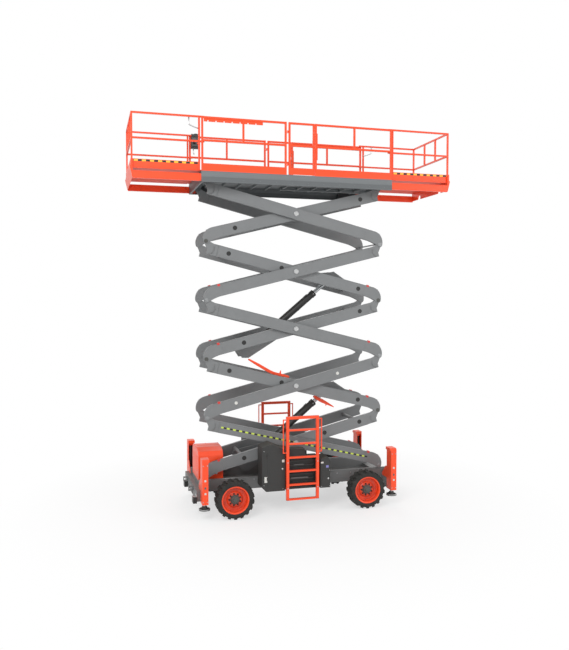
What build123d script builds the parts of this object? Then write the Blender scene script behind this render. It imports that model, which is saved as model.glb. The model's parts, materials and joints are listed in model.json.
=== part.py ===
from build123d import *
from math import cos, sin, tan, radians, degrees, atan2, hypot
import os

# Full-size rough-terrain scissor lift, raised, with both deck extensions out.
# Millimetres. X runs along the machine, Y across it, Z up; the origin is on the
# ground at the centre. The steered axle and the fixed arm pivots are at -X.

os.makedirs("parts", exist_ok=True)

# ---- scissor arms ----
stack_count = 5
arm_half_length = 2105.0     # centre pin to end pin, along the arm
pin_offset = 135.0           # end pins lie this far below and above the arm's axis
arm_depth = 250.0
arm_width = 72.0
arm_slope = 14.0             # degrees, as it stands
base_pin_x = 2010.0          # the fixed base pivot is at -base_pin_x
base_pin_z = 819.0
layer_gap = 8.0              # between the inner and the outer arms
inner_layer_y = 522.0        # middle of the inner arms
pin_radius = 25.0
centre_pin_radius = 35.0
running = 0.05               # radial clearance of every shaft in its bore
bush_radius = 44.0
nose_radius = 60.0
nose_length = 305.0          # from the end pin to where the tube starts
band_thickness = 10.0        # plate that closes the nose's rounded top
web_gap = 66.0               # end pin to the web inside the nose
pin_head = 3.0
pin_head_radius = 45.0
centre_pin_head = 14.0
cheek_thickness = 8.0
tongue_width = 46.0
tongue_end_gap = 75.0        # end pin to the square end of the tongue block
roller_radius = 50.0
tie_tube_radius = 46.0
seat = 0.3                   # gap between pieces that slide on each other

# ---- chassis ----
rail_height = 250.0
rail_top_z = 750.0
rail_width = 99.0
rail_half_length = 2200.0
end_beam_half_width = 905.0
end_beam_top_z = 600.0
end_beam_bottom_z = 370.0
wheel_x = 1505.0
wheel_y = 1070.0
tyre_radius = 420.0
tyre_width = 300.0
rim_radius = 285.0
tread_height = 28.0
lug_count = 18               # on each side of the tread
kingpin_y = 860.0
kingpin_radius = 20.0
spindle_radius = 35.0
axle_size = 120.0

floor_thickness = 12.0
track_x0 = -150.0
track_x1 = 2290.0
yoke_size = 100.0
yoke_start_y = 790.0
fixed_axle_y = 905.0
knuckle_radius = 45.0
steer_arm_length = 150.0
steer_rod_y = 690.0
lug_width = 62.0
tie_down_y = 420.0
tie_down_z = 540.0
tie_down_radius = 30.0
tie_down_thickness = 25.0
tie_down_height = 110.0
tie_down_reach = 110.0
bumper_near_y = -860.0
bumper_far_y = 520.0
bumper_half = 90.0
bumper_depth = 80.0
bumper_bottom_z = 345.0
bumper_top_z = 475.0

# ---- outriggers ----
outrigger_x = 2145.0
outrigger_y = 1050.0
outrigger_width = 130.0
outrigger_depth = 250.0
outrigger_top_z = 1316.0
outrigger_bottom_z = 360.0
outrigger_wall = 12.0
jack_radius = 48.0
jack_rod_radius = 32.0
jack_pad_radius = 120.0
jack_pad_thickness = 34.0
jack_pad_z = 222.0           # underside of the pad as parked

# ---- side bays, ladders and hood ----
bay_inner_y = 665.0
bay_outer_y = 1080.0
bay_corner = 90.0            # cut off the lower left corner
bay_bottom_z = 515.0
bay_left_x0 = -895.0
bay_left_x1 = -385.0
bay_left_top_z = 1548.0
bay_right_x0 = 430.0
bay_right_x1 = 660.0
bay_right_top_z = 1200.0
bay_panel_top_z = 1200.0
bay_recess = 80.0
bay_box_x0 = -260.0
bay_box_x1 = 90.0
bay_box_top_z = 1395.0
ladder_y = 1130.0
ladder_half_width = 340.0
ladder_tube = 60.0
ladder_top_z = 2140.0
ladder_bottom_z = 310.0
rung_pitch = 299.0
rung_size = 36.0
rung_count = 5
lowest_rung_z = 645.0
grab_tube_radius = 13.0
grab_reach = 95.0
grab_bottom_z = 1350.0
grab_top_z = 2070.0
hood_x0 = -2180.0
hood_x1 = -1630.0
hood_half_width = 440.0
hood_top_z = 1390.0
hood_bottom_z = 690.0
hood_wall = 8.0
engine_length = 420.0
engine_width = 620.0
engine_height = 560.0

# ---- platform ----
deck_half_length = 2165.0
deck_half_width = 947.0
deck_thickness = 30.0
pin_to_deck = 154.0          # top end pins to the deck's surface
walking_sheet = 3.0          # tread sheet laid on the deck, clear of posts and toe boards
sheet_side_gap = 100.0
sheet_end_gap = 15.0         # from the sheet's end to the extension's floor
side_beam_height = 230.0
side_beam_wall = 8.0
cross_member_height = 55.0
cross_member_pitch = 360.0
cross_member_gap = 147.0     # from a member's end to the deck's edge
end_member_gap = 77.0
rail_tube = 40.0
top_rail_height = 1112.0     # above the deck
mid_rail_height = 635.0
toe_board_height = 155.0
toe_board_wall = 12.0
flange_width = 54.0
groove_depth_below_deck = 115.0
brace_from_end = 905.0
gate_opening = 686.0         # between the middles of the two gate posts
gate_middle_x = 16.0
gate_pin_radius = 8.0
gate_sleeve_radius = 14.0
gate_hinge_low = 225.0       # above the deck
gate_hinge_high = 925.0
lock_rail_height = 65.0
lock_pitch = 172.0
lock_notch = 24.0
lock_rail_gap = 60.0         # from the deck's end
lock_near_length = 1271.0
lock_far_length = 1755.0
box_width = 200.0
box_depth = 130.0
box_height = 330.0
box_from_end = 135.0
box_to_extension = 12.0
box_top_height = 1145.0      # above the deck

# ---- deck extensions ----
reach_x = 3610.0             # outer face of an extended extension
end_plate_thickness = 40.0
end_plate_drop = 185.0       # below the deck's surface
inner_post_gap = 17.0
notch_clearance = 30.0
rail_overlap = 110.0
extension_tube = 36.0
extension_inset = 67.0       # middle of its rails to the deck's edge
extension_top_rail_height = 1130.0
extension_mid_rail_height = 617.0
extension_toe_height = 190.0
extension_deck_rise = 26.0   # its floor above the main deck's surface
extension_deck_thickness = 18.0
extension_overlap = 110.0
slide_rail_inset = 42.0      # middle of a slide rail to the deck's edge
slide_rail_length = 2050.0
slide_rail_height = 152.0
slide_rail_lift = 12.0       # over the side beam's flange
slide_rail_width = 50.0
pad_length = 100.0

# ---- lift cylinders ----
barrel_radius = 76.0
barrel_length = 2060.0
bore_start = 110.0
rod_radius = 47.0
eye_radius = 72.0
eye_width = 110.0
eye_pin_radius = 40.0
lug_plate_y = 212.5
lug_plate_thickness = 25.0
# eye positions along and across the arm that carries each end
lower_eye = (-1055.0, -265.0)
upper_eye = (1050.0, 165.0)
cylinder_stacks = (1, 3)

rod_inner_end = 582.0        # the rod's piston end, from the barrel's eye

# ---- safety prop ----
prop_y = 350.0
prop_width = 60.0
prop_depth = 48.0

# ---- derived sizes ----
outer_layer_y = inner_layer_y + arm_width + layer_gap
pin_angle = degrees(atan2(pin_offset, arm_half_length))
pin_reach = hypot(arm_half_length, pin_offset)
centre_step_x = pin_reach * cos(radians(arm_slope + pin_angle))
stack_half_rise = pin_reach * sin(radians(arm_slope + pin_angle))
centre_x = centre_step_x - base_pin_x
slide_pin_x = 2 * centre_step_x - base_pin_x
top_pin_z = base_pin_z + 2 * stack_count * stack_half_rise
half_depth = arm_depth / 2
deck_top_z = top_pin_z + pin_to_deck
deck_bottom_z = deck_top_z - deck_thickness
beam_bottom_z = deck_top_z - side_beam_height
beam_inner_y = deck_half_width - side_beam_wall
top_rail_z = deck_top_z + top_rail_height
mid_rail_z = deck_top_z + mid_rail_height
toe_board_top_z = deck_top_z + toe_board_height
groove_z = deck_top_z - groove_depth_below_deck
cross_member_half = deck_half_width - cross_member_gap
end_member_half = deck_half_width - end_member_gap
brace_x = deck_half_length - brace_from_end
extension_side_y = deck_half_width - extension_inset
extension_top_rail_z = deck_top_z + extension_top_rail_height
extension_mid_rail_z = deck_top_z + extension_mid_rail_height
extension_toe_top_z = deck_top_z + extension_toe_height
extension_deck_top_z = deck_top_z + extension_deck_rise
end_plate_bottom_z = deck_top_z - end_plate_drop
slide_rail_y = deck_half_width - slide_rail_inset
slide_rail_bottom_z = beam_bottom_z + side_beam_wall + slide_rail_lift
slide_rail_top_z = slide_rail_bottom_z + slide_rail_height
nose_curve = half_depth + pin_offset
tube_end = arm_half_length - nose_length
tie_reach = inner_layer_y - arm_width / 2 + 1
nose_tie = 65.0
track_z = base_pin_z - roller_radius - seat
rail_y = outer_layer_y
rail_bottom_z = rail_top_z - rail_height
hub_z = tyre_radius


def block(x0, x1, y0, y1, z0, z1):
    """A box between two corners, in any order."""
    size = (abs(x1 - x0), abs(y1 - y0), abs(z1 - z0))
    place = ((x0 + x1) / 2, (y0 + y1) / 2, (z0 + z1) / 2)
    return Pos(*place) * Box(*size)


def post(x, y, z0, z1, size):
    """An upright square tube, as one solid bar."""
    return block(x - size / 2, x + size / 2, y - size / 2, y + size / 2, z0, z1)


def bar_x(x0, x1, y, z, size):
    """A square bar along X."""
    return block(x0, x1, y - size / 2, y + size / 2, z - size / 2, z + size / 2)


def bar_y(x, y0, y1, z, size):
    """A square bar along Y."""
    return block(x - size / 2, x + size / 2, y0, y1, z - size / 2, z + size / 2)


def pin_y(x, z, y0, y1, radius):
    """A round bar along Y."""
    bar = Cylinder(radius, abs(y1 - y0), rotation=(90, 0, 0))
    return Pos(x, (y0 + y1) / 2, z) * bar


def rod_between(a, b, radius):
    """A round bar between two points."""
    start = Vector(*a)
    end = Vector(*b)
    plane = Plane(origin=start, z_dir=end - start)
    return extrude(plane * Circle(radius), (end - start).length)


def plate_xz(points, y0, y1):
    """A flat plate with a straight-sided outline in X and Z, thick along Y."""
    outline = make_face(Polyline([(x, 0, z) for x, z in points], close=True))
    return Pos(0, y1, 0) * extrude(outline, abs(y1 - y0), dir=(0, -1, 0))


def plate_yz(points, x0, x1):
    """A flat plate with a straight-sided outline in Y and Z, thick along X."""
    outline = make_face(Polyline([(0, y, z) for y, z in points], close=True))
    return Pos(x0, 0, 0) * extrude(outline, abs(x1 - x0), dir=(1, 0, 0))


def both_sides(piece):
    """The piece and its mirror image across the machine's middle plane."""
    return [piece, mirror(piece, about=Plane.XZ)]


def turned(piece):
    """The piece turned half round about the machine's upright axis."""
    return Rot(0, 0, 180) * piece


def join(pieces):
    """All pieces as one part."""
    whole = pieces[0]
    return whole.fuse(*pieces[1:]) if len(pieces) > 1 else whole


def save(shapes, name):
    """Writes one node: every solid of the given shapes."""
    solids = []
    for shape in shapes:
        solids += shape.solids()
    body = solids[0] if len(solids) == 1 else Compound(children=solids)
    body.label = name
    export_step(body, os.path.join("parts", name + ".step"))
    print(name, len(solids), "solids", round(sum(s.volume for s in solids) / 1e6, 1), "dm3")


# ---------------------------------------------------------------- scissor arms

def nose_outline():
    """Outline of the big rounded lower end, which carries the end pin below the arm."""
    end = -arm_half_length
    start = -tube_end
    half = sin(radians(45))
    top = (end - nose_radius + nose_curve, half_depth)
    turn = (top[0] - nose_curve * half, -pin_offset + nose_curve * half)
    side = (end - nose_radius, -pin_offset)
    low = (end - nose_radius * half, -pin_offset - nose_radius * half)
    foot = (end, -pin_offset - nose_radius)
    under = ((start + end) / 2, -half_depth + 0.32 * (foot[1] + half_depth))
    return make_face([
        Line((start, half_depth), top),
        ThreePointArc(top, turn, side),
        ThreePointArc(side, low, foot),
        ThreePointArc(foot, under, (start, -half_depth)),
        Line((start, -half_depth), (start, half_depth)),
    ])


def arm(is_outer, has_roller_nose=False, has_roller_head=False):
    """One arm along X about its centre pin; its lower end is at -X."""
    w = arm_width / 2
    t = tongue_width / 2
    end = -arm_half_length
    head = arm_half_length
    nose = Plane.XZ * nose_outline()
    curve_x = end - nose_radius + nose_curve
    band = pin_y(curve_x, -pin_offset, -w, w, nose_curve)
    band -= pin_y(curve_x, -pin_offset, -w - 1, w + 1, nose_curve - band_thickness)
    band = band & block(end - nose_radius, curve_x, -w, w, -half_depth / 2, half_depth)
    pieces = [
        block(-tube_end, tube_end, -w, w, -half_depth, half_depth),
        Pos(0, w, 0) * extrude(nose, cheek_thickness),
        Pos(0, cheek_thickness - w, 0) * extrude(nose, cheek_thickness),
        band,
        block(end + web_gap, -tube_end, -w, w, -half_depth + 30, half_depth - 25),
        pin_y(end, -pin_offset, -w, w, pin_radius),
    ]
    pieces.append(pin_y(end, -pin_offset, w, w + pin_head, pin_head_radius))
    if has_roller_nose:
        pieces.append(pin_y(end, -pin_offset, -t, t, roller_radius))
    block_end = head - tongue_end_gap
    pieces.append(block(tube_end, block_end, -t, t, -half_depth, half_depth))
    pieces.append(plate_xz([
        (block_end - 110, half_depth - 60),
        (block_end - 110, half_depth),
        (head - bush_radius * 0.8, pin_offset + bush_radius * 0.55),
        (head + bush_radius * 0.6, pin_offset - bush_radius * 0.7),
        (block_end, half_depth - 160),
    ], -t, t))
    pieces.append(pin_y(head, pin_offset, -t, t, bush_radius))
    if has_roller_head:
        pieces.append(pin_y(head, pin_offset, -w, w, pin_radius))
        for side in (-1, 1):
            pieces.append(pin_y(head, pin_offset, side * t, side * (w - 1), roller_radius))
    if is_outer:
        reach = w + layer_gap + arm_width + 6
        pieces.append(pin_y(0, 0, -reach, w + centre_pin_head, centre_pin_radius))
        pieces.append(pin_y(0, 0, w, w + centre_pin_head, centre_pin_radius + 14))
    whole = join(pieces)
    if not has_roller_head:
        whole -= pin_y(head, pin_offset, -w, w, pin_radius + running)
    if not is_outer:
        whole -= pin_y(0, 0, -w - 1, w + 1, centre_pin_radius + running)
    return whole


def place_arm(shape, stack, rises_right):
    """Moves an arm to its stack; it is built with its lower end to the left."""
    z = base_pin_z + (2 * stack - 1) * stack_half_rise
    if rises_right:
        return Pos(centre_x, 0, z) * Rot(0, -arm_slope, 0) * shape
    return Pos(centre_x, 0, z) * Rot(0, arm_slope, 0) * mirror(shape, about=Plane.YZ)


# tie tubes of the inner arms: distances from the lower and upper end pins
tie_places = {1: (893, -505), 2: (545, -1780, -555), 3: (893, -505), 4: (547, -1780, -546),
              5: (692, -505)}


def tie_x(stack):
    """Places of a stack's tie tubes along its inner arms, lower ones negative."""
    return [gap - arm_half_length if gap > 0 else gap + arm_half_length for gap in tie_places[stack]]


def eye_plates(outline):
    """Pair of plates beside a cylinder's eye."""
    half = lug_plate_thickness / 2
    return [plate_xz(outline, y - half, y + half) for y in (-lug_plate_y, lug_plate_y)]


def side_webs(s0, s1, h0, h1):
    """Short beams from the inner arms to the eye plates, clear of the middle."""
    return both_sides(block(s0, s1, lug_plate_y, tie_reach, h0, h1))


def lower_lugs():
    """Plates, webs and pin that hang under an arm pair and hold a barrel's eye."""
    s, h = lower_eye
    outline = [(s - 289, -half_depth - 13), (s - 217, h - 96), (s - 72, h - 135),
               (s + 764, -half_depth - 6), (s + 764, -half_depth + 65), (s + 640, 0),
               (s - 90, 30), (s - 240, 30), (s - 289, -20)]
    pieces = eye_plates(outline) + side_webs(s + 575, s + 641, -66, 0)
    pieces.append(pin_y(s, h, -lug_plate_y, lug_plate_y, eye_pin_radius))
    return pieces


def upper_humps():
    """Plates and webs that stand on an arm pair and hold a rod's eye."""
    s, h = upper_eye
    outline = [(s - 410, half_depth - 65), (s - 410, half_depth + 21), (s - 120, h + 77),
               (s - 50, h + 110), (s - 35, h + 100), (s + 270, half_depth + 31),
               (s + 270, half_depth - 65), (s + 70, -30), (s - 70, -30)]
    mirrored = [(-x, z) for x, z in reversed(outline)]
    return eye_plates(mirrored) + side_webs(-s - 50, -s + 50, -50, 50)


def save_stack(stack):
    """Writes the inner and the outer arm pair of one stack."""
    inner_rises_right = stack % 2 == 1
    outer = arm(True, has_roller_nose=stack == 1)
    inner = arm(False, has_roller_head=stack == stack_count)
    outer_pair = both_sides(Pos(0, outer_layer_y, 0) * outer)
    if stack == stack_count:
        bar_start = arm_half_length - nose_tie
        reach = outer_layer_y - arm_width / 2 + 1
        bar = block(-bar_start - 60, -bar_start, -reach, reach, -pin_offset - 5, -pin_offset + 5)
        outer_pair = [join(outer_pair + [bar])]
    pieces = both_sides(Pos(0, inner_layer_y, 0) * inner)
    for s in tie_x(stack):
        pieces.append(pin_y(s, 0, -tie_reach, tie_reach, tie_tube_radius))
    if stack in cylinder_stacks:
        pieces += lower_lugs()
    if stack - 1 in cylinder_stacks:
        pieces += upper_humps()
    pair = join(pieces)
    save([place_arm(pair, stack, inner_rises_right)], f"arms_{stack}_inner")
    save([place_arm(one, stack, not inner_rises_right) for one in outer_pair], f"arms_{stack}_outer")


for number in range(1, stack_count + 1):
    save_stack(number)


# ---------------------------------------------------------------- lift cylinders

def on_inner_arm(stack, along, across):
    """World X and Z of a point given along and across an inner arm, towards +X."""
    slope = arm_slope if stack % 2 == 1 else -arm_slope
    z = base_pin_z + (2 * stack - 1) * stack_half_rise
    c = cos(radians(slope))
    n = sin(radians(slope))
    return centre_x + along * c - across * n, z + along * n + across * c


def save_cylinder(stack, name):
    """Writes a lift cylinder's barrel and rod, from its lower eye to its upper eye."""
    x0, z0 = on_inner_arm(stack, *lower_eye)
    x1, z1 = on_inner_arm(stack + 1, *upper_eye)
    length = hypot(x1 - x0, z1 - z0)
    slope = degrees(atan2(z1 - z0, x1 - x0))
    half = eye_width / 2
    barrel = join([
        rod_between((eye_radius * 0.8, 0, 0), (barrel_length, 0, 0), barrel_radius),
        rod_between((barrel_length - 90, 0, 0), (barrel_length, 0, 0), barrel_radius + 7),
        pin_y(0, 0, -half, half, eye_radius),
        block(300, 380, -30, 30, barrel_radius - 6, barrel_radius + 12),
        block(barrel_length - 240, barrel_length - 160, -30, 30, barrel_radius - 6, barrel_radius + 12),
        rod_between((340, 0, barrel_radius + 5), (barrel_length - 200, 0, barrel_radius + 5), 7),
    ])
    barrel -= rod_between((bore_start, 0, 0), (barrel_length + 1, 0, 0), rod_radius + running)
    barrel -= pin_y(0, 0, -half - 1, half + 1, eye_pin_radius + running)
    inside = lug_plate_y - lug_plate_thickness / 2 - seat
    rod = join([
        rod_between((rod_inner_end, 0, 0), (length - eye_radius * 0.8, 0, 0), rod_radius),
        pin_y(length, 0, -half, half, eye_radius),
        pin_y(length, 0, -inside, inside, eye_pin_radius),
    ])
    place = Pos(x0, 0, z0) * Rot(0, -slope, 0)
    save([place * barrel], "lift_barrel_" + name)
    save([place * rod], "lift_rod_" + name)


save_cylinder(cylinder_stacks[0], "lower")
save_cylinder(cylinder_stacks[1], "upper")


# ---------------------------------------------------------------- safety props

def prop(start, end):
    """A flat bar along an arm of the second stack, from point to point."""
    a = Vector(start[0], 0, start[1])
    b = Vector(end[0], 0, end[1])
    run = (b - a).normalized()
    side = Vector(-run.Z, 0, run.X) * (prop_depth / 2)
    corners = [a - side, b - side, b + side, a + side]
    return plate_xz([(c.X, c.Z) for c in corners], prop_y - prop_width / 2, prop_y + prop_width / 2)


def prop_plate(points):
    return plate_xz(points, prop_y - prop_width / 2, prop_y + prop_width / 2)


prop_place = Pos(centre_x, 0, base_pin_z + 3 * stack_half_rise) * Rot(0, arm_slope, 0)
middle_tie = -tie_x(2)[1]
stub_x = upper_eye[0]
long_prop = join([
    prop((middle_tie - 775, half_depth + 30), (middle_tie + 198, half_depth + 30)),
    prop_plate([(middle_tie - 45, tie_tube_radius + seat), (middle_tie + 45, tie_tube_radius + seat),
                (middle_tie + 70, half_depth + 30), (middle_tie - 70, half_depth + 30)]),
])
short_prop = join([
    prop((stub_x - 492, -half_depth - 38), (stub_x + 40, -half_depth - 171)),
    prop_plate([(stub_x - 30, -50), (stub_x + 40, -50), (stub_x + 45, -half_depth - 171),
                (stub_x - 25, -half_depth - 155)]),
])
save([Pos(0, 0, 0) * mirror(prop_place * one, about=Plane.XZ) for one in (long_prop, short_prop)],
     "safety_props")


# ---------------------------------------------------------------- chassis

rail_inner_y = rail_y - rail_width / 2
rail_outer_y = rail_y + rail_width / 2
end_beam_x0 = outrigger_x - outrigger_width / 2
end_beam_x1 = end_beam_x0 + 210
floor_z = rail_bottom_z + floor_thickness
t = tongue_width / 2

chassis = both_sides(block(-rail_half_length, rail_half_length, rail_inner_y, rail_outer_y,
                           rail_bottom_z, rail_top_z))
chassis.append(block(-end_beam_x0 - 1, end_beam_x0 + 1, -rail_inner_y - 1, rail_inner_y + 1,
                     rail_bottom_z, floor_z))
for way in (-1, 1):
    chassis.append(block(way * end_beam_x0, way * end_beam_x1, -end_beam_half_width, end_beam_half_width,
                         end_beam_bottom_z, end_beam_top_z))
    chassis.append(block(way * end_beam_x1, way * (end_beam_x1 + 12), -300, 300,
                         end_beam_bottom_z + 30, end_beam_top_z - 30))
lug_x = -base_pin_x
chassis += both_sides(plate_xz([(lug_x - 95, floor_z - 2), (lug_x + 130, floor_z - 2),
                                (lug_x + bush_radius * 0.9, base_pin_z), (lug_x - bush_radius * 0.9, base_pin_z)],
                               inner_layer_y - t, inner_layer_y + t))
chassis += both_sides(pin_y(lug_x, base_pin_z, inner_layer_y - t, inner_layer_y + t, bush_radius))
for way in (-1, 1):
    for x0 in (bay_left_x0 + 260, bay_right_x0 + 60):
        chassis.append(block(x0, x0 + 100, way * (rail_outer_y - 1), way * bay_inner_y,
                             rail_bottom_z + 20, rail_top_z - 50))
track_half = 20
chassis += both_sides(block(track_x0, track_x1, outer_layer_y - track_half, outer_layer_y + track_half,
                            rail_top_z - 1, track_z))
chassis_frame = join(chassis)
for side in (-1, 1):
    chassis_frame -= pin_y(lug_x, base_pin_z, side * (inner_layer_y - t - 1), side * (inner_layer_y + t + 1),
                           pin_radius + running)
eyes = []
for way in (-1, 1):
    for side in (-1, 1):
        plate = block(way * end_beam_x1, way * (end_beam_x1 + tie_down_reach),
                      side * tie_down_y - tie_down_thickness / 2, side * tie_down_y + tie_down_thickness / 2,
                      tie_down_z - tie_down_height / 2, tie_down_z + tie_down_height / 2)
        centre = way * (end_beam_x1 + tie_down_reach - tie_down_radius - 18)
        plate -= pin_y(centre, tie_down_z, side * tie_down_y - tie_down_thickness,
                       side * tie_down_y + tie_down_thickness, tie_down_radius)
        eyes.append(plate)
chassis_frame = join([chassis_frame] + eyes)
save([chassis_frame], "chassis_frame")

bumpers = [block(-end_beam_x1 - bumper_depth, -end_beam_x1, y - bumper_half, y + bumper_half,
                 bumper_bottom_z, bumper_top_z) for y in (bumper_near_y, bumper_far_y)]
save(bumpers, "end_blocks")

# the hood stands between the fixed arm pivots, over the engine
hood_profile = [(hood_half_width, hood_bottom_z), (hood_half_width, hood_top_z - 155),
                (hood_half_width - 40, hood_top_z - 60), (hood_half_width - 240, hood_top_z)]
inner_profile = [(hood_half_width - hood_wall, hood_bottom_z - 1),
                 (hood_half_width - hood_wall, hood_top_z - 158),
                 (hood_half_width - 45, hood_top_z - 69),
                 (hood_half_width - 243, hood_top_z - hood_wall)]
hood = plate_yz(hood_profile + [(-y, z) for y, z in reversed(hood_profile)], hood_x0, hood_x1)
hood -= plate_yz(inner_profile + [(-y, z) for y, z in reversed(inner_profile)],
                 hood_x0 + hood_wall, hood_x1 - hood_wall)
save([hood], "hood")
tray = block(-end_beam_x0, hood_x1, -hood_half_width, hood_half_width, floor_z, hood_bottom_z)
tray += block(hood_x0, -end_beam_x0 + 1, -hood_half_width, hood_half_width, end_beam_top_z, hood_bottom_z)
save([tray], "engine_tray")
engine = block(-engine_length / 2, engine_length / 2, -engine_width / 2, engine_width / 2,
               hood_bottom_z, hood_bottom_z + engine_height)
save([Pos((hood_x0 + hood_x1) / 2, 0, 0) * engine], "engine_block")


# ---------------------------------------------------------------- side bays

def bays():
    """Equipment bays of the far side; the near side is their half turn's mirror."""
    y0, y1 = bay_inner_y, bay_outer_y
    left = plate_xz([(bay_left_x0, bay_bottom_z + bay_corner), (bay_left_x0 + bay_corner, bay_bottom_z),
                     (bay_left_x1, bay_bottom_z), (bay_left_x1, bay_left_top_z - 110),
                     (bay_left_x1 - 65, bay_left_top_z - 105), (bay_left_x1 - 295, bay_left_top_z),
                     (bay_left_x0, bay_left_top_z - 65)], y0, y1)
    right = plate_xz([(bay_right_x0, bay_bottom_z), (bay_right_x1, bay_bottom_z),
                      (bay_right_x1, bay_right_top_z - bay_corner), (bay_right_x1 - 60, bay_right_top_z),
                      (bay_right_x0, bay_right_top_z - 58)], y0, y1)
    panel = block(bay_left_x1, bay_right_x0, y0, y1 - bay_recess, bay_bottom_z, bay_panel_top_z)
    box = block(bay_box_x0, bay_box_x1, y0 + 120, y1 - bay_recess, bay_panel_top_z, bay_box_top_z)
    mounts = [block(x - ladder_tube / 2, x + ladder_tube / 2, y1 - bay_recess,
                    ladder_y - ladder_tube / 2, z - 25, z + 25)
              for x in (-ladder_half_width, ladder_half_width)
              for z in (bay_bottom_z + 60, bay_panel_top_z - 60)]
    return [left, right, panel, box] + mounts


far_bays = bays()
save([join(far_bays)], "bays_far")
save([join([mirror(one, about=Plane.XZ) for one in far_bays])], "bays_near")


# ---------------------------------------------------------------- ladders

def ladder():
    """Far access ladder: two stiles, rungs and a thin grab loop at each side."""
    x = ladder_half_width
    h = ladder_tube / 2
    pieces = [block(side * x - h, side * x + h, ladder_y - h, ladder_y + h, ladder_bottom_z, ladder_top_z)
              for side in (-1, 1)]
    pieces.append(block(-x, x, ladder_y - h, ladder_y + h, ladder_top_z - ladder_tube, ladder_top_z))
    pieces.append(block(-x, x, ladder_y - h, ladder_y + h, ladder_bottom_z, ladder_bottom_z + rung_size))
    for number in range(rung_count):
        z = lowest_rung_z + number * rung_pitch
        pieces.append(block(-x, x, ladder_y - h, ladder_y + h, z - rung_size / 2, z + rung_size / 2))
    r = grab_tube_radius
    for side in (-1, 1):
        gx = side * (x + grab_reach)
        pieces.append(rod_between((gx, ladder_y, grab_bottom_z), (gx, ladder_y, grab_top_z), r))
        for z in (grab_bottom_z, grab_top_z):
            pieces.append(rod_between((side * x, ladder_y, z), (gx + side * r * 0.7, ladder_y, z), r))
    return join(pieces)


far_ladder = ladder()
save([far_ladder], "ladder_far")
save([mirror(far_ladder, about=Plane.XZ)], "ladder_near")


# ---------------------------------------------------------------- outriggers

def outrigger():
    """Housing at +X on the far side: a channel open towards the middle, with its cap."""
    w = outrigger_width / 2
    d = outrigger_depth / 2
    k = outrigger_wall
    x, y = outrigger_x, outrigger_y
    z0, z1 = outrigger_bottom_z, outrigger_top_z
    channel = [
        block(x - w, x - w + k, y - d, y + d, z0, z1 - 60),
        block(x + w - k, x + w, y - d, y + d, z0, z1 - 60),
        block(x - w, x + w, y + d - k, y + d, z0, z1 - 60),
        block(x - w, x + w, y - d, y + d, z1 - 60 - k, z1 - 60),
    ]
    cap = plate_yz([(y - d, z1 - 60), (y + d, z1 - 60), (y + d, z1 - 30), (y + d - 30, z1), (y - d, z1)],
                   x - w - 23, x + w)
    bracket_z = end_beam_top_z
    bracket = [plate_yz([(rail_outer_y + 20, bracket_z), (y - d + 1, bracket_z), (y - d + 1, bracket_z + 260),
                         (y - d - 60, bracket_z + 260), (rail_outer_y + 20, bracket_z + 60)], x0, x0 + k)
               for x0 in (x - w, x + w - k)]
    guides = [block(x - w + k - 1, x + w - k + 1, y - jack_radius - 14, y + jack_radius + 14, z, z + 40)
              for z in (z0, z1 - 112 - k)]
    housing = join(channel + [cap] + bracket + guides)
    return housing - rod_between((x, y, z0 - 1), (x, y, z1 - 60 - k), jack_radius)


def four_corners(piece):
    """The +X far piece and its copies at the other three corners."""
    return [piece, mirror(piece, about=Plane.XZ), mirror(piece, about=Plane.YZ), turned(piece)]


save(four_corners(outrigger()), "outrigger_housings")

jack_top_z = outrigger_top_z - 60 - outrigger_wall
barrel = rod_between((outrigger_x, outrigger_y, outrigger_bottom_z), (outrigger_x, outrigger_y, jack_top_z),
                     jack_radius)
barrel -= rod_between((outrigger_x, outrigger_y, outrigger_bottom_z - 1),
                      (outrigger_x, outrigger_y, jack_top_z - 40), jack_rod_radius + running)
save(four_corners(barrel), "jack_barrels")

leg = join([
    rod_between((outrigger_x, outrigger_y, jack_pad_z + 10), (outrigger_x, outrigger_y, jack_top_z - 60),
                jack_rod_radius),
    rod_between((outrigger_x, outrigger_y, jack_pad_z), (outrigger_x, outrigger_y, jack_pad_z + jack_pad_thickness),
                jack_pad_radius),
    rod_between((outrigger_x, outrigger_y, jack_pad_z), (outrigger_x, outrigger_y, jack_pad_z + 80),
                jack_rod_radius + 22),
])
for one, name in zip(four_corners(leg), ("right_far", "right_near", "left_far", "left_near")):
    save([one], "jack_leg_" + name)


# ---------------------------------------------------------------- axles and wheels

half = axle_size / 2
yoke = yoke_size / 2
yoke_end = kingpin_y + kingpin_radius + 5
steer = [block(-wheel_x - half, -wheel_x + half, -yoke_start_y - 1, yoke_start_y + 1, hub_z - half, hub_z + half)]
for side in (-1, 1):
    steer.append(block(-wheel_x - 60, -wheel_x + 60, side * rail_inner_y, side * rail_outer_y,
                       hub_z + half - 1, rail_bottom_z))
    for z0, z1 in ((hub_z - half - 22, hub_z - half), (hub_z + half, hub_z + half + 18)):
        steer.append(block(-wheel_x - yoke, -wheel_x + yoke, side * (yoke_start_y - 60), side * yoke_end, z0, z1))
    steer.append(rod_between((-wheel_x, side * kingpin_y, hub_z - half - 28),
                             (-wheel_x, side * kingpin_y, hub_z + half + 24), kingpin_radius))
steer.append(pin_y(-wheel_x + half + 28, hub_z + 10, -260, 260, 38))
for side in (-1, 1):
    steer.append(block(-wheel_x + half - 1, -wheel_x + half + 28, side * 130 - 30, side * 130 + 30,
                       hub_z - 25, hub_z + 40))
    steer.append(pin_y(-wheel_x + half + 28, hub_z + 10, side * 259, side * steer_rod_y, 16))
save([join(steer)], "steer_axle")

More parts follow.
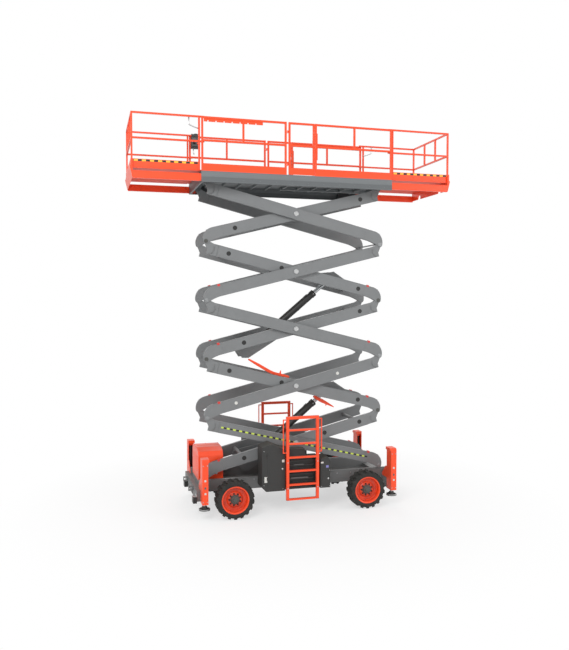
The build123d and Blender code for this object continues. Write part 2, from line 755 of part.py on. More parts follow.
spindle_end = wheel_y + 20
fixed = [block(wheel_x - half, wheel_x + half, -fixed_axle_y, fixed_axle_y, hub_z - half, hub_z + half)]
for side in (-1, 1):
    fixed.append(block(wheel_x - 60, wheel_x + 60, side * rail_inner_y, side * rail_outer_y,
                       hub_z + half - 1, rail_bottom_z))
    fixed.append(pin_y(wheel_x, hub_z, side * (fixed_axle_y - 1), side * spindle_end, spindle_radius))
fixed.append(Pos(wheel_x, 0, hub_z - 10) * Sphere(85))
save([join(fixed)], "fixed_axle")

knuckle_height = axle_size - 4
knuckle = join([
    rod_between((-wheel_x, kingpin_y, hub_z - knuckle_height / 2), (-wheel_x, kingpin_y, hub_z + knuckle_height / 2),
                knuckle_radius),
    pin_y(-wheel_x, hub_z, kingpin_y + kingpin_radius + 4, spindle_end, spindle_radius),
    block(-wheel_x, -wheel_x + steer_arm_length, kingpin_y - 18, kingpin_y + 18, hub_z + 28, hub_z + 52),
])
knuckle -= rod_between((-wheel_x, kingpin_y, hub_z - half), (-wheel_x, kingpin_y, hub_z + half),
                       kingpin_radius + running)
save([knuckle], "knuckle_far")
save([mirror(knuckle, about=Plane.XZ)], "knuckle_near")


def tyre():
    """Off-road tyre about the Y axis, with staggered shoulder lugs."""
    w = tyre_width / 2
    body_radius = tyre_radius - tread_height
    profile = [(rim_radius, w - 30), (rim_radius + 12, w - 20), (rim_radius + 12, w - 12),
               (rim_radius + 22, w - 7), (rim_radius + 45, w - 3),
               (body_radius - 40, w), (body_radius - 8, w - 14), (body_radius, w - 44)]
    outline = profile + [(r, -y) for r, y in reversed(profile)]
    face = make_face(Polyline([(r, y, 0) for r, y in outline], close=True))
    ring = revolve(face, Axis.Y)
    step = 360 / lug_count
    lug_profile = [(body_radius - 30, 8), (body_radius - 30, w - 2), (body_radius + 2, w - 3),
                   (tyre_radius - 3, w - 22), (tyre_radius, w - 40), (tyre_radius, 22), (body_radius, 8)]
    lugs = []
    for number in range(lug_count):
        for side in (1, -1):
            turn = number * step + (0 if side == 1 else step / 2)
            outline = make_face(Polyline([(r, side * y, 0) for r, y in lug_profile], close=True))
            lug = extrude(outline, lug_width / 2, both=True)
            lugs.append(Rot(0, turn, 0) * lug)
    return ring.fuse(*lugs)


def rim():
    """Wheel about the Y axis: barrel, dished disc and hub, bored for its spindle."""
    w = tyre_width / 2
    profile = [(spindle_radius + running, w - 70), (spindle_radius + 40, w - 70), (spindle_radius + 62, w - 92),
               (150, w - 92), (180, w - 118), (rim_radius - 34, w - 118), (rim_radius - 22, w - 104),
               (rim_radius - 22, w - 60), (rim_radius - 12, w - 20), (rim_radius + 12, w - 12),
               (rim_radius + 12, w - 20), (rim_radius, w - 30), (rim_radius, -w + 30),
               (rim_radius + 12, -w + 20), (rim_radius + 12, -w + 12), (rim_radius - 12, -w + 20),
               (rim_radius - 14, w - 132), (spindle_radius + 70, w - 110), (spindle_radius + 50, w - 140),
               (spindle_radius + 50, -w + 60), (spindle_radius + running, -w + 60)]
    face = make_face(Polyline([(r, y, 0) for r, y in profile], close=True))
    return revolve(face, Axis.Y)


tyre_shape = tyre()
rim_shape = rim()
wheels = (("steer_far", -1, 1), ("steer_near", -1, -1), ("rear_far", 1, 1), ("rear_near", 1, -1))
for name, way, side in wheels:
    centre = Pos(way * wheel_x, side * wheel_y, hub_z)
    outward = 0 if side == 1 else 180
    save([centre * Rot(0, 0, outward) * tyre_shape], "tyre_" + name)
    save([centre * Rot(0, 0, outward) * rim_shape], "rim_" + name)


# ---------------------------------------------------------------- platform

end_member = 40.0
platform = [block(-deck_half_length, deck_half_length, -deck_half_width, deck_half_width,
                  deck_bottom_z, deck_top_z)]
for side in (-1, 1):
    platform.append(block(-deck_half_length, deck_half_length, side * beam_inner_y, side * deck_half_width,
                          beam_bottom_z, deck_bottom_z + 1))
    platform.append(block(-deck_half_length, deck_half_length, side * (beam_inner_y - flange_width),
                          side * deck_half_width, beam_bottom_z, beam_bottom_z + side_beam_wall))
member_count = int(deck_half_length / cross_member_pitch)
for number in range(-member_count + 1, member_count):
    x = number * cross_member_pitch
    platform.append(block(x - 15, x + 15, -cross_member_half, cross_member_half,
                          deck_bottom_z - cross_member_height, deck_bottom_z + 1))
platform.append(block(-deck_half_length, -deck_half_length + end_member, -end_member_half, end_member_half,
                      beam_bottom_z, deck_bottom_z + 1))
platform.append(block(deck_half_length - end_member, deck_half_length, -end_member_half, end_member_half,
                      deck_bottom_z - cross_member_height, deck_bottom_z + 1))
bracket_x = -base_pin_x
bracket = [(bracket_x - 75, deck_bottom_z + 1), (bracket_x - 60, top_pin_z - 20), (bracket_x - 35, top_pin_z - 55),
           (bracket_x + 35, top_pin_z - 55), (bracket_x + 60, top_pin_z - 20), (bracket_x + 110, deck_bottom_z + 1)]
slide_track_z = top_pin_z + roller_radius + seat
for side in (-1, 1):
    inner_face = outer_layer_y - arm_width / 2
    outer_face = outer_layer_y + arm_width / 2
    for y0, y1 in ((inner_face, inner_face + cheek_thickness + 2), (outer_face - cheek_thickness - 2, outer_face)):
        platform.append(plate_xz(bracket, min(side * y0, side * y1), max(side * y0, side * y1)))
    platform.append(pin_y(bracket_x, top_pin_z, side * inner_face, side * outer_face, pin_radius))
    platform.append(block(track_x0 + 100, deck_half_length, side * (inner_layer_y - arm_width / 2),
                          side * (inner_layer_y + arm_width / 2), slide_track_z, deck_bottom_z + 1))
for side in (-1, 1):
    for way in (-1, 1):
        platform.append(block(way * (deck_half_length - 15 - pad_length), way * (deck_half_length - 15),
                              side * (slide_rail_y - 20), side * (slide_rail_y + 20),
                              beam_bottom_z + side_beam_wall - 1, slide_rail_bottom_z - seat))
sheet_x = deck_half_length - extension_overlap - sheet_end_gap
sheet_y = deck_half_width - sheet_side_gap
platform.append(block(-sheet_x, sheet_x, -sheet_y, sheet_y, deck_top_z - 1, deck_top_z + walking_sheet))
platform_frame = join(platform)
for side in (-1, 1):
    groove = block(-deck_half_length - 1, deck_half_length + 1, side * (deck_half_width - 3), side * deck_half_width,
                   groove_z - 5, groove_z + 5)
    platform_frame -= groove
save([platform_frame], "platform_frame")

# fixed guardrails with a gate opening in the middle of each long side
rail_side_y = deck_half_width - rail_tube / 2
half_tube = rail_tube / 2
post_x = deck_half_length - rail_tube / 2 - 5
gate_left = gate_middle_x - gate_opening / 2
gate_right = gate_middle_x + gate_opening / 2
gate_hinge_x = gate_left + half_tube + 25


def far_guardrail(lock_x0, lock_x1):
    """Rails, posts, toe boards and notched lock rail of one long side, at +Y."""
    y = rail_side_y
    pieces = []
    for x, top in ((-post_x, top_rail_z + half_tube), (post_x, top_rail_z + half_tube),
                   (gate_left, top_rail_z + half_tube), (gate_right, top_rail_z + half_tube)):
        pieces.append(post(x, y, deck_top_z, top, rail_tube))
    for x0, x1 in ((-post_x, gate_left), (gate_right, post_x)):
        for z in (top_rail_z, mid_rail_z):
            pieces.append(bar_x(x0, x1, y, z, rail_tube))
        pieces.append(block(x0, x1, deck_half_width - toe_board_wall, deck_half_width,
                            deck_top_z, toe_board_top_z))
    for x in (-brace_x, brace_x):
        pieces.append(post(x, y, mid_rail_z, top_rail_z, rail_tube))
    lock = block(lock_x0, lock_x1, y - 8, y + 8, top_rail_z - half_tube - lock_rail_height,
                 top_rail_z - half_tube + 1)
    count = int((lock_x1 - lock_x0) / lock_pitch)
    for number in range(count):
        x = lock_x0 + (number + 0.5) * lock_pitch
        lock -= block(x - lock_notch / 2, x + lock_notch / 2, y - 9, y + 9, top_rail_z - half_tube - lock_rail_height - 1,
                      top_rail_z - half_tube - lock_rail_height + 28)
    pieces.append(lock)
    for z in (deck_top_z + gate_hinge_low, deck_top_z + gate_hinge_high):
        pieces.append(block(gate_left + half_tube - 1, gate_hinge_x + gate_pin_radius, y - 8, y + 8,
                            z - 30, z - 22))
        pieces.append(rod_between((gate_hinge_x, y, z - 23), (gate_hinge_x, y, z + 30), gate_pin_radius))
    return join(pieces)


lock_end = deck_half_length - lock_rail_gap
far_rail = far_guardrail(lock_end - lock_far_length, lock_end)
near_rail = mirror(far_guardrail(-lock_end, -lock_end + lock_near_length), about=Plane.XZ)
save([far_rail, near_rail], "main_guardrails")


def far_gate():
    """Gate leaf at +Y, hung on two upright pins of the left gate post."""
    y = rail_side_y
    x0 = gate_hinge_x + gate_sleeve_radius + 8
    x1 = gate_right - half_tube - 10
    low = deck_top_z + 10
    pieces = [
        post(x0 + half_tube, y, low, top_rail_z + half_tube, rail_tube),
        post(x1 - half_tube, y, low, top_rail_z + half_tube, rail_tube),
        bar_x(x0, x1, y, top_rail_z, rail_tube),
        bar_x(x0, x1, y, mid_rail_z, rail_tube),
        block(x0, x1, deck_half_width - toe_board_wall, deck_half_width, low, toe_board_top_z),
    ]
    for z in (deck_top_z + gate_hinge_low, deck_top_z + gate_hinge_high):
        pieces.append(rod_between((gate_hinge_x, y, z - 20), (gate_hinge_x, y, z + 26), gate_sleeve_radius))
        pieces.append(block(gate_hinge_x, x0 + 1, y - 8, y + 8, z - 20, z + 26))
    leaf = join(pieces)
    for z in (deck_top_z + gate_hinge_low, deck_top_z + gate_hinge_high):
        leaf -= rod_between((gate_hinge_x, y, z - 31), (gate_hinge_x, y, z + 31), gate_pin_radius + running)
    return leaf


gate = far_gate()
save([gate], "gate_far")
save([mirror(gate, about=Plane.XZ)], "gate_near")

# control box, hung inside the left end of the far rail
box_x = -deck_half_length + box_from_end
box_outer_y = extension_side_y - extension_tube / 2 - box_to_extension
box_inner_y = box_outer_y - box_depth
box_top_z = deck_top_z + box_top_height
box_bottom_z = box_top_z - box_height
box_side = box_width / 2
box = [
    plate_xz([(box_x - box_side, box_bottom_z), (box_x + box_side, box_bottom_z),
              (box_x + box_side, box_top_z - 70), (box_x + box_side - 30, box_top_z - 20),
              (box_x + box_side - 70, box_top_z), (box_x - box_side + 70, box_top_z),
              (box_x - box_side + 30, box_top_z - 20), (box_x - box_side, box_top_z - 70)],
             box_inner_y, box_outer_y),
]
hook_z = extension_top_rail_z + extension_tube / 2 + 7
for x in (box_x - box_side + 30, box_x + box_side - 30):
    box.append(block(x - 14, x + 14, box_outer_y - 16, box_outer_y - 1, box_top_z - 120, hook_z + 10))
    box.append(block(x - 14, x + 14, box_outer_y - 16, rail_side_y + half_tube + 6, hook_z, hook_z + 10))
    box.append(block(x - 14, x + 14, rail_side_y - half_tube + 6, rail_side_y + half_tube - 6,
                     top_rail_z + half_tube, hook_z + 1))
save([join(box)], "control_box")


# ---------------------------------------------------------------- deck extensions

def extension():
    """Right-hand deck extension, drawn out: the sliding frame with its rails."""
    h = extension_tube / 2
    y = extension_side_y
    end_x = reach_x - 5 - h
    start_x = deck_half_length + inner_post_gap + h
    deck_low = extension_deck_top_z - extension_deck_thickness
    pieces = []
    for side in (-1, 1):
        yy = side * y
        for x in (end_x, start_x):
            pieces.append(post(x, yy, deck_low + 1, extension_top_rail_z + h, extension_tube))
        pieces.append(bar_x(start_x, end_x, yy, extension_top_rail_z, extension_tube))
        pieces.append(bar_x(start_x, end_x, yy, extension_mid_rail_z, extension_tube))
        pieces.append(bar_x(start_x - rail_overlap, start_x, yy, extension_top_rail_z, extension_tube))
        pieces.append(bar_x(start_x - rail_overlap, start_x, yy, extension_mid_rail_z, extension_tube))
        pieces.append(block(start_x, end_x, yy - 6, yy + 6, extension_deck_top_z - 1, extension_toe_top_z))
        pieces.append(block(reach_x - end_plate_thickness - slide_rail_length, reach_x - end_plate_thickness + 1,
                            side * (slide_rail_y - slide_rail_width / 2), side * (slide_rail_y + slide_rail_width / 2),
                            slide_rail_bottom_z, slide_rail_top_z))
        inner_end = reach_x - end_plate_thickness - slide_rail_length
        pieces.append(block(inner_end, inner_end + 80, side * (slide_rail_y - 20), side * (slide_rail_y + 20),
                            beam_bottom_z + side_beam_wall + seat, slide_rail_bottom_z + 1))
    for z in (extension_top_rail_z, extension_mid_rail_z):
        pieces.append(bar_y(end_x, -y, y, z, extension_tube))
    for side in (-1, 1):
        pieces.append(post(end_x, side * 275, extension_mid_rail_z, extension_top_rail_z, extension_tube))
    width = y + h
    pieces.append(plate_xz([(reach_x - end_plate_thickness, end_plate_bottom_z), (reach_x - 30, end_plate_bottom_z),
                            (reach_x + 20, extension_deck_top_z), (reach_x, extension_deck_top_z + 30),
                            (reach_x, extension_toe_top_z), (reach_x - end_plate_thickness, extension_toe_top_z)],
                           -width - 30, width + 30))
    return join(pieces)


def extension_deck():
    """Floor plate of the right-hand extension, lying on its frame and over the main deck."""
    x0 = deck_half_length - extension_overlap
    x1 = reach_x - end_plate_thickness
    deck_low = extension_deck_top_z - extension_deck_thickness
    y = extension_side_y + 6
    plate = block(x0, x1, -y, y, deck_low, extension_deck_top_z)
    return plate


frame = extension()
floor = extension_deck()
frame = frame - floor
# the right end plate is notched for the arm ends, which pass under it when all is folded
right_frame = frame
for side in (-1, 1):
    right_frame -= block(reach_x - end_plate_thickness - 1, reach_x + 21,
                         side * (inner_layer_y - arm_width / 2 - notch_clearance),
                         side * (inner_layer_y + arm_width / 2 + notch_clearance),
                         end_plate_bottom_z - 1, slide_track_z + notch_clearance / 2)
save([right_frame], "extension_right")
save([floor], "extension_right_deck")
save([turned(frame)], "extension_left")
save([turned(floor)], "extension_left_deck")
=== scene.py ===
import json
import math

import bmesh
import bpy
import numpy as np
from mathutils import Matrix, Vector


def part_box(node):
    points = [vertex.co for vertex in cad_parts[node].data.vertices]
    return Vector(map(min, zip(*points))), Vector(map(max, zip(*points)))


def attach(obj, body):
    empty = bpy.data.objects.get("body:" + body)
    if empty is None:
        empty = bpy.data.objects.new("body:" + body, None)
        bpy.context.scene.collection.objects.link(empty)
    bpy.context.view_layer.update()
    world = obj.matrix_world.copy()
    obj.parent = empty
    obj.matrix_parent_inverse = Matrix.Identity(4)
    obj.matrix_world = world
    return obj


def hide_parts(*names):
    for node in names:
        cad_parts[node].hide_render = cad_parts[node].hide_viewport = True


# Rough-terrain scissor lift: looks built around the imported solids.
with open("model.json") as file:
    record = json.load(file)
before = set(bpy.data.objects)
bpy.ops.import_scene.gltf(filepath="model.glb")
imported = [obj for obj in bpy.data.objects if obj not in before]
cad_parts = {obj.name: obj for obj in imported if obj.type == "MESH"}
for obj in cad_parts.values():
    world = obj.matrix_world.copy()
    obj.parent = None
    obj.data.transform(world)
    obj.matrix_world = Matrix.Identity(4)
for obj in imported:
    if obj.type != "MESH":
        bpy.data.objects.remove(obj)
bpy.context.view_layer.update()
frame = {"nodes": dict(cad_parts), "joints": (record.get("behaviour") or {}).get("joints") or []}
nodes = frame["nodes"]
print("stage: frame loaded,", len(nodes), "nodes")

machine = {"slope": 14.0,  # degrees that the arms stand at, at rest
           "armEnd": 2.105, "pinDrop": 0.135,  # an end pin lies this far along and under the arm's middle
           "deckRise": 0.154,  # top of the deck over the highest end pins
           "outerFace": 0.638, "outerMiddle": 0.602, "innerFace": 0.558, "innerMiddle": 0.522}
sides = ((-1, "near"), (1, "far"))


def toLinear(hexColour):
    # sRGB hex to linear light: c/12.92 below 0.04045, ((c + 0.055)/1.055)^2.4 above
    text = hexColour.lstrip("#")
    rgb = [int(text[k:k + 2], 16) / 255 for k in (0, 2, 4)]
    return [c / 12.92 if c <= 0.04045 else ((c + 0.055) / 1.055) ** 2.4 for c in rgb] + [1.0]


def addNode(tree, kind, settings=None, links=None):
    # one node with its attributes, socket values and incoming links; a link from a node means its first output
    node = tree.nodes.new(kind)
    for key, value in (settings or {}).items():
        if isinstance(key, str) and hasattr(node, key) and key not in node.inputs:
            setattr(node, key, value)
        else:
            node.inputs[key].default_value = value
    for key, source in (links or {}).items():
        tree.links.new(source.outputs[0] if isinstance(source, bpy.types.Node) else source, node.inputs[key])
    return node


def freshMaterial(name):
    # an empty node tree, and the object coordinates that every pattern starts from
    mat = bpy.data.materials.new(name)
    mat.use_nodes = True
    mat.node_tree.nodes.clear()
    return mat, mat.node_tree, addNode(mat.node_tree, "ShaderNodeTexCoord").outputs["Object"]


def meshPiece(name, parts, mat, slotName, body, smooth=None, uv=None):
    # parts: list of (verts, faces), whose index rows are shifted by the vertices before them; smooth: the angle
    # in degrees past which an edge stays sharp, 180 for none; uv: n x 2 per vertex
    starts = np.cumsum([0] + [len(verts) for verts, faces in parts]).tolist()
    points = np.vstack([verts for verts, faces in parts])
    mesh = bpy.data.meshes.new(name)
    mesh.from_pydata(points.tolist(), [], [[int(i) + start for i in row]
                                           for start, (verts, faces) in zip(starts, parts) for row in faces])
    mesh.update()
    if uv is not None:
        layer = mesh.uv_layers.new(name="along")
        index = np.zeros(len(mesh.loops), np.int32)
        mesh.loops.foreach_get("vertex_index", index)
        layer.data.foreach_set("uv", np.asarray(uv)[index].ravel())
    if smooth is not None:
        mesh.polygons.foreach_set("use_smooth", np.ones(len(mesh.polygons), bool))
        if smooth < 180:
            mesh.set_sharp_from_angle(angle=math.radians(smooth))
    piece = bpy.data.objects.new(name, mesh)
    bpy.context.scene.collection.objects.link(piece)
    mesh.materials.append(mat)
    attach(piece, body)
    return piece


def axesFor(direction):
    # two unit vectors square to a direction, right-handed with it
    d = np.asarray(direction, float) / np.linalg.norm(direction)
    other = np.array([0, 0, 1.0]) if abs(d[2]) < 0.9 else np.array([1.0, 0, 0])
    u = np.cross(other, d)
    u /= np.linalg.norm(u)
    return u, np.cross(d, u), d


def ringFaces(index):
    # quads between the rows of an index grid whose columns close on themselves
    here, there = index[:-1], index[1:]
    return np.stack([here, np.roll(here, -1, 1), np.roll(there, -1, 1), there], -1).reshape(-1, 4).tolist()


def turnedPart(profile, centre, direction, steps=32, closed=False):
    # surface of revolution: P(t, k) = centre + r(t)(cos a u + sin a w) + z(t) d; a row of no radius is one
    # point, and a closed profile joins its last row to its first in place of the two caps
    u, w, d = axesFor(direction)
    r, z = np.asarray(profile, float).T
    a = np.arange(steps) * 2 * np.pi / steps
    ring = np.cos(a)[:, None] * u + np.sin(a)[:, None] * w
    verts = (np.asarray(centre, float) + r[:, None, None] * ring[None] + z[:, None, None] * d).reshape(-1, 3)
    index = np.arange(len(verts)).reshape(len(r), steps)
    index[r == 0] = index[r == 0][:, :1]
    faces = ringFaces(np.vstack([index, index[:1]]) if closed else index)
    faces = [list(dict.fromkeys(face)) for face in faces]  # a quad that meets a pole is a triangle
    if not closed and r[0] > 0:
        faces.append(index[0, ::-1].tolist())
    if not closed and r[-1] > 0:
        faces.append(index[-1].tolist())
    used = np.unique(index)
    place = np.zeros(len(verts), int)
    place[used] = np.arange(len(used))
    return verts[used], [place[face].tolist() for face in faces]


def facedOut(verts, faces):
    # one closed shell: Blender works out which way is outwards
    verts = np.asarray(verts, float)
    mesh = bpy.data.meshes.new("shell")
    mesh.from_pydata(verts.tolist(), [], faces)
    shell = bmesh.new()
    shell.from_mesh(mesh)
    bmesh.ops.recalc_face_normals(shell, faces=shell.faces[:])
    faces = [[v.index for v in face.verts] for face in shell.faces]
    shell.free()
    bpy.data.meshes.remove(mesh)
    return verts, faces


# a box's 24 points are three shells of eight corners, one per axis, and a corner's bits are 4 x + 2 y + z:
# a triangle at each corner, then two sides square to each axis and four cut edges along it
boxFaces = [[corner, 8 + corner, 16 + corner] for corner in range(8)]
for axis, a, b in ((0, 1, 2), (1, 0, 2), (2, 0, 1)):
    along, up, over = 4 >> axis, 4 >> a, 4 >> b
    boxFaces += [[8 * axis + far + k for k in (0, up, up + over, over)] for far in (0, along)]
    boxFaces += [[8 * a + k, 8 * a + k + along, 8 * b + k + along, 8 * b + k] for k in (0, over, up, up + over)]


def softBox(lo, hi, edge=0.003):
    # box with its twelve edges cut at 45 degrees: each axis's corners stand full out along it and are drawn in
    # by the cut along the other two
    lo, hi = np.minimum(lo, hi), np.maximum(lo, hi)
    edge = min(edge, *(0.45 * (hi - lo)))
    signs = np.indices((2, 2, 2)).reshape(3, 8).T * 2 - 1
    out = (hi - lo) / 2 - edge * (1 - np.eye(3))
    return facedOut(((lo + hi) / 2 + signs * out[:, None]).reshape(-1, 3), boxFaces)


def slab(side, x, y, z, edge=0.003):
    # soft box from three spans, with y counted outwards on its side of the machine
    return softBox((x[0], side * y[0], z[0]), (x[1], side * y[1], z[1]), edge)


def shellOf(rows):
    # bar between long edges: rows is m x n x 3 in order round the section, with quads between
    # neighbours and a cap at each end; two rows alone are the end loops of a prism
    rows = np.asarray(rows, float)
    if len(rows) == 2:
        rows = rows.transpose(1, 0, 2)
    m, n = rows.shape[:2]
    index = np.arange(m * n).reshape(m, n)
    nextRow = np.roll(index, -1, 0)
    quads = np.stack([index[:, :-1], index[:, 1:], nextRow[:, 1:], nextRow[:, :-1]], -1).reshape(-1, 4).tolist()
    return facedOut(rows.reshape(-1, 3), quads + [index[:, 0].tolist(), index[:, -1].tolist()])


def tubeAlong(points, radius, steps=12, bend=0.0):
    # round tube: rings of radius r square to the mean direction at each point, ends capped
    p = np.asarray(points, float)
    if bend > 0:  # each corner is replaced by a short arc of points
        q = [p[0]]
        for a, b, c in zip(p[:-2], p[1:-1], p[2:]):
            u, v = (a - b) / np.linalg.norm(a - b), (c - b) / np.linalg.norm(c - b)
            q += [b + u * bend * (1 - t) ** 2 + v * bend * t ** 2 for t in np.linspace(0, 1, 6)]
        p = np.array(q + [p[-1]])
    tangent = np.gradient(p, axis=0)
    tangent /= np.linalg.norm(tangent, axis=1)[:, None]
    u = np.zeros_like(p)
    u[0] = axesFor(tangent[0])[0]
    for k in range(1, len(p)):  # the ring's axes are carried on without a twist
        side = u[k - 1] - np.dot(u[k - 1], tangent[k]) * tangent[k]
        u[k] = side / np.linalg.norm(side)
    w = np.cross(tangent, u)
    a = np.arange(steps) * 2 * np.pi / steps
    verts = p[:, None] + radius * (np.cos(a)[None, :, None] * u[:, None] + np.sin(a)[None, :, None] * w[:, None])
    index = np.arange(len(p) * steps).reshape(len(p), steps)
    return verts.reshape(-1, 3), ringFaces(index) + [index[0, ::-1].tolist(), index[-1].tolist()]


pivots = {int(j["name"].split("_")[-1]): np.array(j["pos_m"]) for j in frame["joints"]
          if j["name"].startswith("centre_pivot_")}
# the deck lies on the highest arms' heads: their pivot, up the arm to the head's pin, then the deck's depth
headAngle = math.radians(machine["slope"]) + math.atan2(machine["pinDrop"], machine["armEnd"])
headReach = math.hypot(machine["armEnd"], machine["pinDrop"])
deckTop = float(pivots[5][2] + math.sin(headAngle) * headReach + machine["deckRise"])


def armPoints(stack, rising, points):
    # points given as along the arm, across the machine and square to the arm, in the machine's own frame
    t = math.radians(machine["slope"]) * (1 if rising else -1)
    p = np.asarray(points, float)
    c = pivots[stack]
    return np.stack([c[0] + p[:, 0] * math.cos(t) - p[:, 2] * math.sin(t), p[:, 1],
                     c[2] + p[:, 0] * math.sin(t) + p[:, 2] * math.cos(t)], 1)


def onArm(stack, rising, parts):
    return [(armPoints(stack, rising, verts), faces) for verts, faces in parts]


def boltHead(washer, head, tall, seat=0.003):
    # profile of a hexagon head on its washer
    return [(0, 0), (washer, 0), (washer, seat), (head, seat), (head, tall), (0, tall + .001)]




# materials

finishes = {
    # name: colour, roughness, how far the colour wanders, height of the orange peel
    "armGrey": ("#787A7B", 0.50, 0.10, 0.10),
    "chassisGrey": ("#6F7070", 0.52, 0.12, 0.12),
    "signalOrange": ("#FB4E22", 0.36, 0.07, 0.08),
    "bayCharcoal": ("#30302F", 0.62, 0.14, 0.30),
    "blackEnamel": ("#1E1E1D", 0.42, 0.20, 0.10),
    "hubGrey": ("#4B4B47", 0.50, 0.16, 0.10),
    "deckGrey": ("#6F7375", 0.48, 0.10, 0.12),
}
# colours: real dust for upward faces, painted shade for the wheel's dish, a darker tone for the slide rails inside
# the deck's end, and painted shade for the beam's band under its groove
grimeAndShade = {"dust": "#B9B2A6", "paintedDishShade": "#A82A14", "insideDeckDark": "#35383A", "groove": "#4E5254",
         "dishRim": 1.188, "dishFloor": 1.120,  # how far out the wheel's rim and the floor of its dish lie
         "insideDarkStart": 1.98, "insideDarkEnd": 2.06,  # the slide rails are black inside the deck's end
         "railUnderDeck": 0.030, "beamGroove": 0.122}  # depths under the deck's top


def powderCoat(name, hexColour, rough, wander, peel, tint=None):
    # powder coat: sprayed and baked polyester on steel; an even colour with cloudy patches a hand
    # wide, faint dust lying on upward faces and a fine orange-peel skin
    mat, tree, place = freshMaterial(name)
    cloud = addNode(tree, "ShaderNodeTexNoise", {"Scale": 3.2, "Detail": 6.0, "Roughness": 0.6}, {"Vector": place})
    speck = addNode(tree, "ShaderNodeTexNoise", {"Scale": 46.0, "Detail": 4.0, "Roughness": 0.7}, {"Vector": place})
    base = toLinear(hexColour)[:3]
    dark = [c * (1 - wander) for c in base] + [1]
    light = [min(1, c * (1 + wander) + 0.002) for c in base] + [1]
    colour = addNode(tree, "ShaderNodeMix", {"data_type": "RGBA", 6: dark, 7: light}, {0: cloud}).outputs[2]
    if tint:
        colour = tint(tree, place, colour)
    normal = addNode(tree, "ShaderNodeNewGeometry").outputs["Normal"]
    up = addNode(tree, "ShaderNodeSeparateXYZ", None, {"Vector": normal}).outputs["Z"]
    lying = addNode(tree, "ShaderNodeMath", {"operation": "MULTIPLY_ADD", "use_clamp": True, 1: 0.22, 2: -0.10},
                    {0: up})
    dusty = addNode(tree, "ShaderNodeMath", {"operation": "MULTIPLY"}, {0: lying, 1: speck})
    dust = addNode(tree, "ShaderNodeMix", {"data_type": "RGBA", 7: toLinear(grimeAndShade["dust"])},
                   {0: dusty, 6: colour})
    rub = addNode(tree, "ShaderNodeMapRange", {"To Min": rough - 0.07, "To Max": rough + 0.09},
                  {"Value": cloud})
    skin = addNode(tree, "ShaderNodeTexNoise", {"Scale": 260.0, "Detail": 2.0}, {"Vector": place})
    bump = addNode(tree, "ShaderNodeBump", {"Strength": peel, "Distance": 0.0006}, {"Height": skin})
    shader = addNode(tree, "ShaderNodeBsdfPrincipled", {"Metallic": 0.0, "IOR": 1.5},
                     {"Base Color": dust.outputs[2], "Roughness": rub, "Normal": bump})
    addNode(tree, "ShaderNodeOutputMaterial", None, {"Surface": shader})
    return mat


def paintedDishShade(tree, place, colour):
    # the deeper a point lies in the wheel's dish, the darker red it is painted, in patches: painted shade in the
    # dish's recess
    across = addNode(tree, "ShaderNodeSeparateXYZ", None, {"Vector": place}).outputs["Y"]
    away = addNode(tree, "ShaderNodeMath", {"operation": "ABSOLUTE"}, {0: across})
    depth = addNode(tree, "ShaderNodeMapRange", {"From Min": grimeAndShade["dishRim"], "From Max": grimeAndShade["dishFloor"]},
                    {"Value": away})
    cloud = addNode(tree, "ShaderNodeTexNoise", {"Scale": 14.0, "Detail": 5.0}, {"Vector": place})
    patchy = addNode(tree, "ShaderNodeMapRange", {"From Min": 0.3, "From Max": 0.7, "To Min": 0.35, "To Max": 0.75},
                     {"Value": cloud})
    amount = addNode(tree, "ShaderNodeMath", {"operation": "MULTIPLY"}, {0: depth, 1: patchy})
    return addNode(tree, "ShaderNodeMix", {"data_type": "RGBA", 7: toLinear(grimeAndShade["paintedDishShade"])},
                   {0: amount, 6: colour}).outputs[2]


def darkenInsideDeckEnd(tree, place, colour):
    # the part of a slide rail that lies inside the deck's end, below the deck's top, is painted darker
    axes = addNode(tree, "ShaderNodeSeparateXYZ", None, {"Vector": place})
    away = addNode(tree, "ShaderNodeMath", {"operation": "ABSOLUTE"}, {0: axes.outputs["X"]})
    inside = addNode(tree, "ShaderNodeMapRange", {"From Min": grimeAndShade["insideDarkEnd"], "From Max": grimeAndShade["insideDarkStart"]},
                     {"Value": away})
    low = addNode(tree, "ShaderNodeMath", {"operation": "LESS_THAN", 1: deckTop - grimeAndShade["railUnderDeck"]},
                  {0: axes.outputs["Z"]})
    amount = addNode(tree, "ShaderNodeMath", {"operation": "MULTIPLY"}, {0: inside, 1: low})
    return addNode(tree, "ShaderNodeMix", {"data_type": "RGBA", 7: toLinear(grimeAndShade["insideDeckDark"])},
                   {0: amount, 6: colour}).outputs[2]


def beamShadeBand(tree, place, colour):
    # the deck's pressed side beam: a darker band under its groove, painted shade
    height = addNode(tree, "ShaderNodeSeparateXYZ", None, {"Vector": place}).outputs["Z"]
    under = addNode(tree, "ShaderNodeMath", {"operation": "LESS_THAN", 1: deckTop - grimeAndShade["beamGroove"]}, {0: height})
    below = addNode(tree, "ShaderNodeMath", {"operation": "MULTIPLY", 1: 0.55}, {0: under})
    return addNode(tree, "ShaderNodeMix", {"data_type": "RGBA", 7: toLinear(grimeAndShade["groove"])},
                   {0: below, 6: colour}).outputs[2]


def vulcanisedRubber():
    # carbon-black tyre rubber, moulded: nearly black, dull, greyer in cloudy patches of dry mud
    mat, tree, place = freshMaterial("tyreRubber")
    cloud = addNode(tree, "ShaderNodeTexNoise", {"Scale": 9.0, "Detail": 7.0, "Roughness": 0.65}, {"Vector": place})
    tone = addNode(tree, "ShaderNodeValToRGB", None, {"Fac": cloud})
    for stop, position, hexColour in zip(tone.color_ramp.elements, (0.35, 0.75), ("#1D1D1C", "#34332F")):
        stop.position, stop.color = position, toLinear(hexColour)
    grain = addNode(tree, "ShaderNodeTexNoise", {"Scale": 180.0, "Detail": 5.0}, {"Vector": place})
    bump = addNode(tree, "ShaderNodeBump", {"Strength": 0.35, "Distance": 0.0012}, {"Height": grain})
    shader = addNode(tree, "ShaderNodeBsdfPrincipled", {"Roughness": 0.82, "IOR": 1.5},
                     {"Base Color": tone, "Normal": bump})
    addNode(tree, "ShaderNodeOutputMaterial", None, {"Surface": shader})
    return mat


